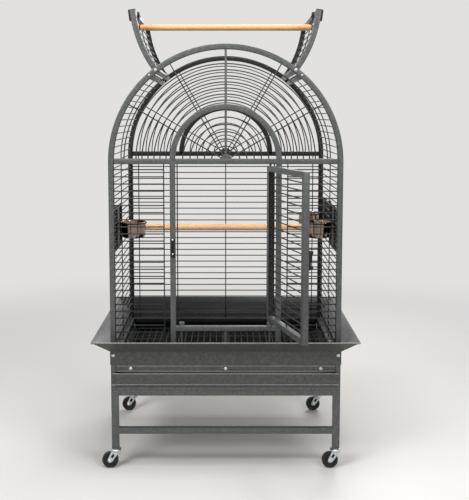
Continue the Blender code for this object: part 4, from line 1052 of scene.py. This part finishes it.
class AddFeeders(Operator):
    """Add the feeder doors, the bowl holders and the spun bowls."""
    bl_idname = "cage.add_feeders"
    bl_label = "Feeders"

    def execute(self, context):
        for name, _, _ in FEEDERS:
            body = name + "_feeder"
            door = name + "_feeder_door"
            work = from_cad(door, PLATE_EDGE)
            # The pressed box is drawn shallower than its solid, to stand out as little as the object's does
            for vert in work.verts:
                proud = abs(vert.co.x) - INNER_X - 0.0115
                vert.co.x -= copysign(max(0.0, proud) * 0.42, vert.co.x)
            keep(work, door + "_box", body, "black_fittings", [door])
            holder = name + "_bowl_holder"
            dress(holder, holder + "_plate", body, "black_fittings", PLATE_EDGE)
            cup = name + "_bowl"
            low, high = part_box(cup)
            rim, tall = 500 * (high.x - low.x), 1000 * (high.z - low.z)
            wall = rim - 3
            # Up the inside from the middle of the bottom, over the rim and down the outside
            bowl = small([(0, 1.4 - tall), (wall * 0.7, 1.4 - tall), (wall * 0.84, 4 - tall),
                          (wall * 0.93, 12 - tall), (wall - 2.2, 30 - tall), (wall - 1.6, -4),
                          (wall - 0.6, -1.2), (rim - 1.6, 0), (rim, -0.8), (rim, -2), (rim - 1, -2.6),
                          (wall + 0.2, -2.6), (wall, -6), (wall - 0.6, 30 - tall), (wall * 0.96, 11 - tall),
                          (wall * 0.87, 2.6 - tall), (wall * 0.72, -tall), (0, -tall)], 64)
            place = at(*centre_of(cup)[:2], high.z)
            keep(stamped(bowl, [place]), name + "_spun_bowl", cup, "stainless_steel", [cup])
        return {"FINISHED"}


def caster_fork(name):
    """One fork with its race, its axle's caps and, in each cheek, a black plate that is painted shade for a
    pressed slot.
    """
    body = name + "_fork"
    swivel = Vector(JOINTS[name + "_swivel"]["pos_m"])
    axle = Vector(JOINTS[name + "_roll"]["pos_m"])
    race = small([(0, -0.3), (15.2, -0.3), (19, -1.2), (20.8, -3.4), (20.4, -5.2), (18.2, -6),
                  (19.2, -7.2), (19.8, -9.2), (18.4, -11.4), (14.5, -13), (0, -13)], 36)
    cap = small([(0, 0), (6.8, 0), (6.8, 3), (5.6, 4), (2.8, 4), (2.8, 5.6), (0, 5.6)], 6)
    work = from_cad(body, 0.0005)
    stamped(race, [at(swivel.x, swivel.y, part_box(body)[1].z)], work)
    stamped(cap, [facing((axle.x, axle.y + end * CHEEK_Y, axle.z), (0, end, 0)) for end in (-1, 1)], work)
    keep(work, name + "_zinc_fork", body, "zinc_plate", [body])
    # A black plate on each cheek is painted shade: it stands for the dark of a pressed slot above the axle
    lean = swivel.x - axle.x
    place = at(axle.x + lean / 2, axle.y, axle.z + 0.0175) @ Matrix.Rotation(atan2(lean, 0.0335), 4, "Y")
    wide, thin, tall = 0.0042, 0.0006, 0.0072
    work = bmesh.new()
    for cheek in (-CHEEK_Y, CHEEK_Y):
        block(work, (-wide, cheek - thin, -tall), (wide, cheek + thin, tall), 0.0003, place)
    keep(work, body + "_windows", body, "black_fittings")


def caster_wheel(name):
    """One wheel, with a bore, a hub that stands out and a hollow between hub and tread."""
    body = name + "_wheel"
    low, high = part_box(body)
    r, half = 500 * (high.z - low.z), 500 * (high.y - low.y)
    face = [(4.5, 0), (8.8, 0), (9.6, 1.2), (9.8, 4), (11.5, 5.2), (18.5, 5.2), (20.2, 4), (21, 0.8),
            (22.2, 0), (r - 3.5, 0), (r - 1, 1), (r, 3.5)]
    profile = [(radius, inset - half) for radius, inset in face]
    profile += [(radius, half - inset) for radius, inset in reversed(face)]
    shape = stamped(small([*profile, profile[0]], 48), [facing(centre_of(body), (0, 1, 0))])
    keep(shape, name + "_black_wheel", body, "wheel_plastic", [body])


class AddCasters(Operator):
    """Add the swivel casters: zinc forks with ball races, and black wheels."""
    bl_idname = "cage.add_casters"
    bl_label = "Casters"

    def execute(self, context):
        for name in CASTERS:
            caster_fork(name)
            caster_wheel(name)
        return {"FINISHED"}


OPERATORS = (AddStage, AddFrame, AddPanels, AddFans, AddBase, AddTray, AddDoor, AddLeaves, AddInnerPerch,
             AddFeeders, AddCasters)


class CagePanel(Panel):
    """The cage's sizes, colours and pieces in the sidebar."""
    bl_idname = "VIEW3D_PT_cage"
    bl_label = "Bird cage"
    bl_space_type = "VIEW_3D"
    bl_region_type = "UI"
    bl_category = "Cage"

    def draw(self, context):
        for group in (context.scene.cage_sizes, context.scene.cage_colours, context.scene.cage_stage):
            box = self.layout.box()
            for key in group.__annotations__:
                box.prop(group, key)
        for operator in OPERATORS:
            self.layout.operator(operator.bl_idname)


GROUPS = {"cage_sizes": CageSizes, "cage_colours": CageColours, "cage_stage": CageStage}
CLASSES = (*GROUPS.values(), *OPERATORS, CagePanel)


def register():
    """Make the classes known and hang the property groups on the scene."""
    for item in CLASSES:
        bpy.utils.register_class(item)
    for name, group in GROUPS.items():
        setattr(bpy.types.Scene, name, PointerProperty(type=group))


def unregister():
    """Take the property groups and the classes away again."""
    for name in GROUPS:
        delattr(bpy.types.Scene, name)
    for item in reversed(CLASSES):
        bpy.utils.unregister_class(item)


def main():
    """Build the stage and the cage."""
    register()
    for operator in OPERATORS:
        getattr(bpy.ops.cage, operator.bl_idname.split(".")[1])()


if __name__ == "__main__":
    main()
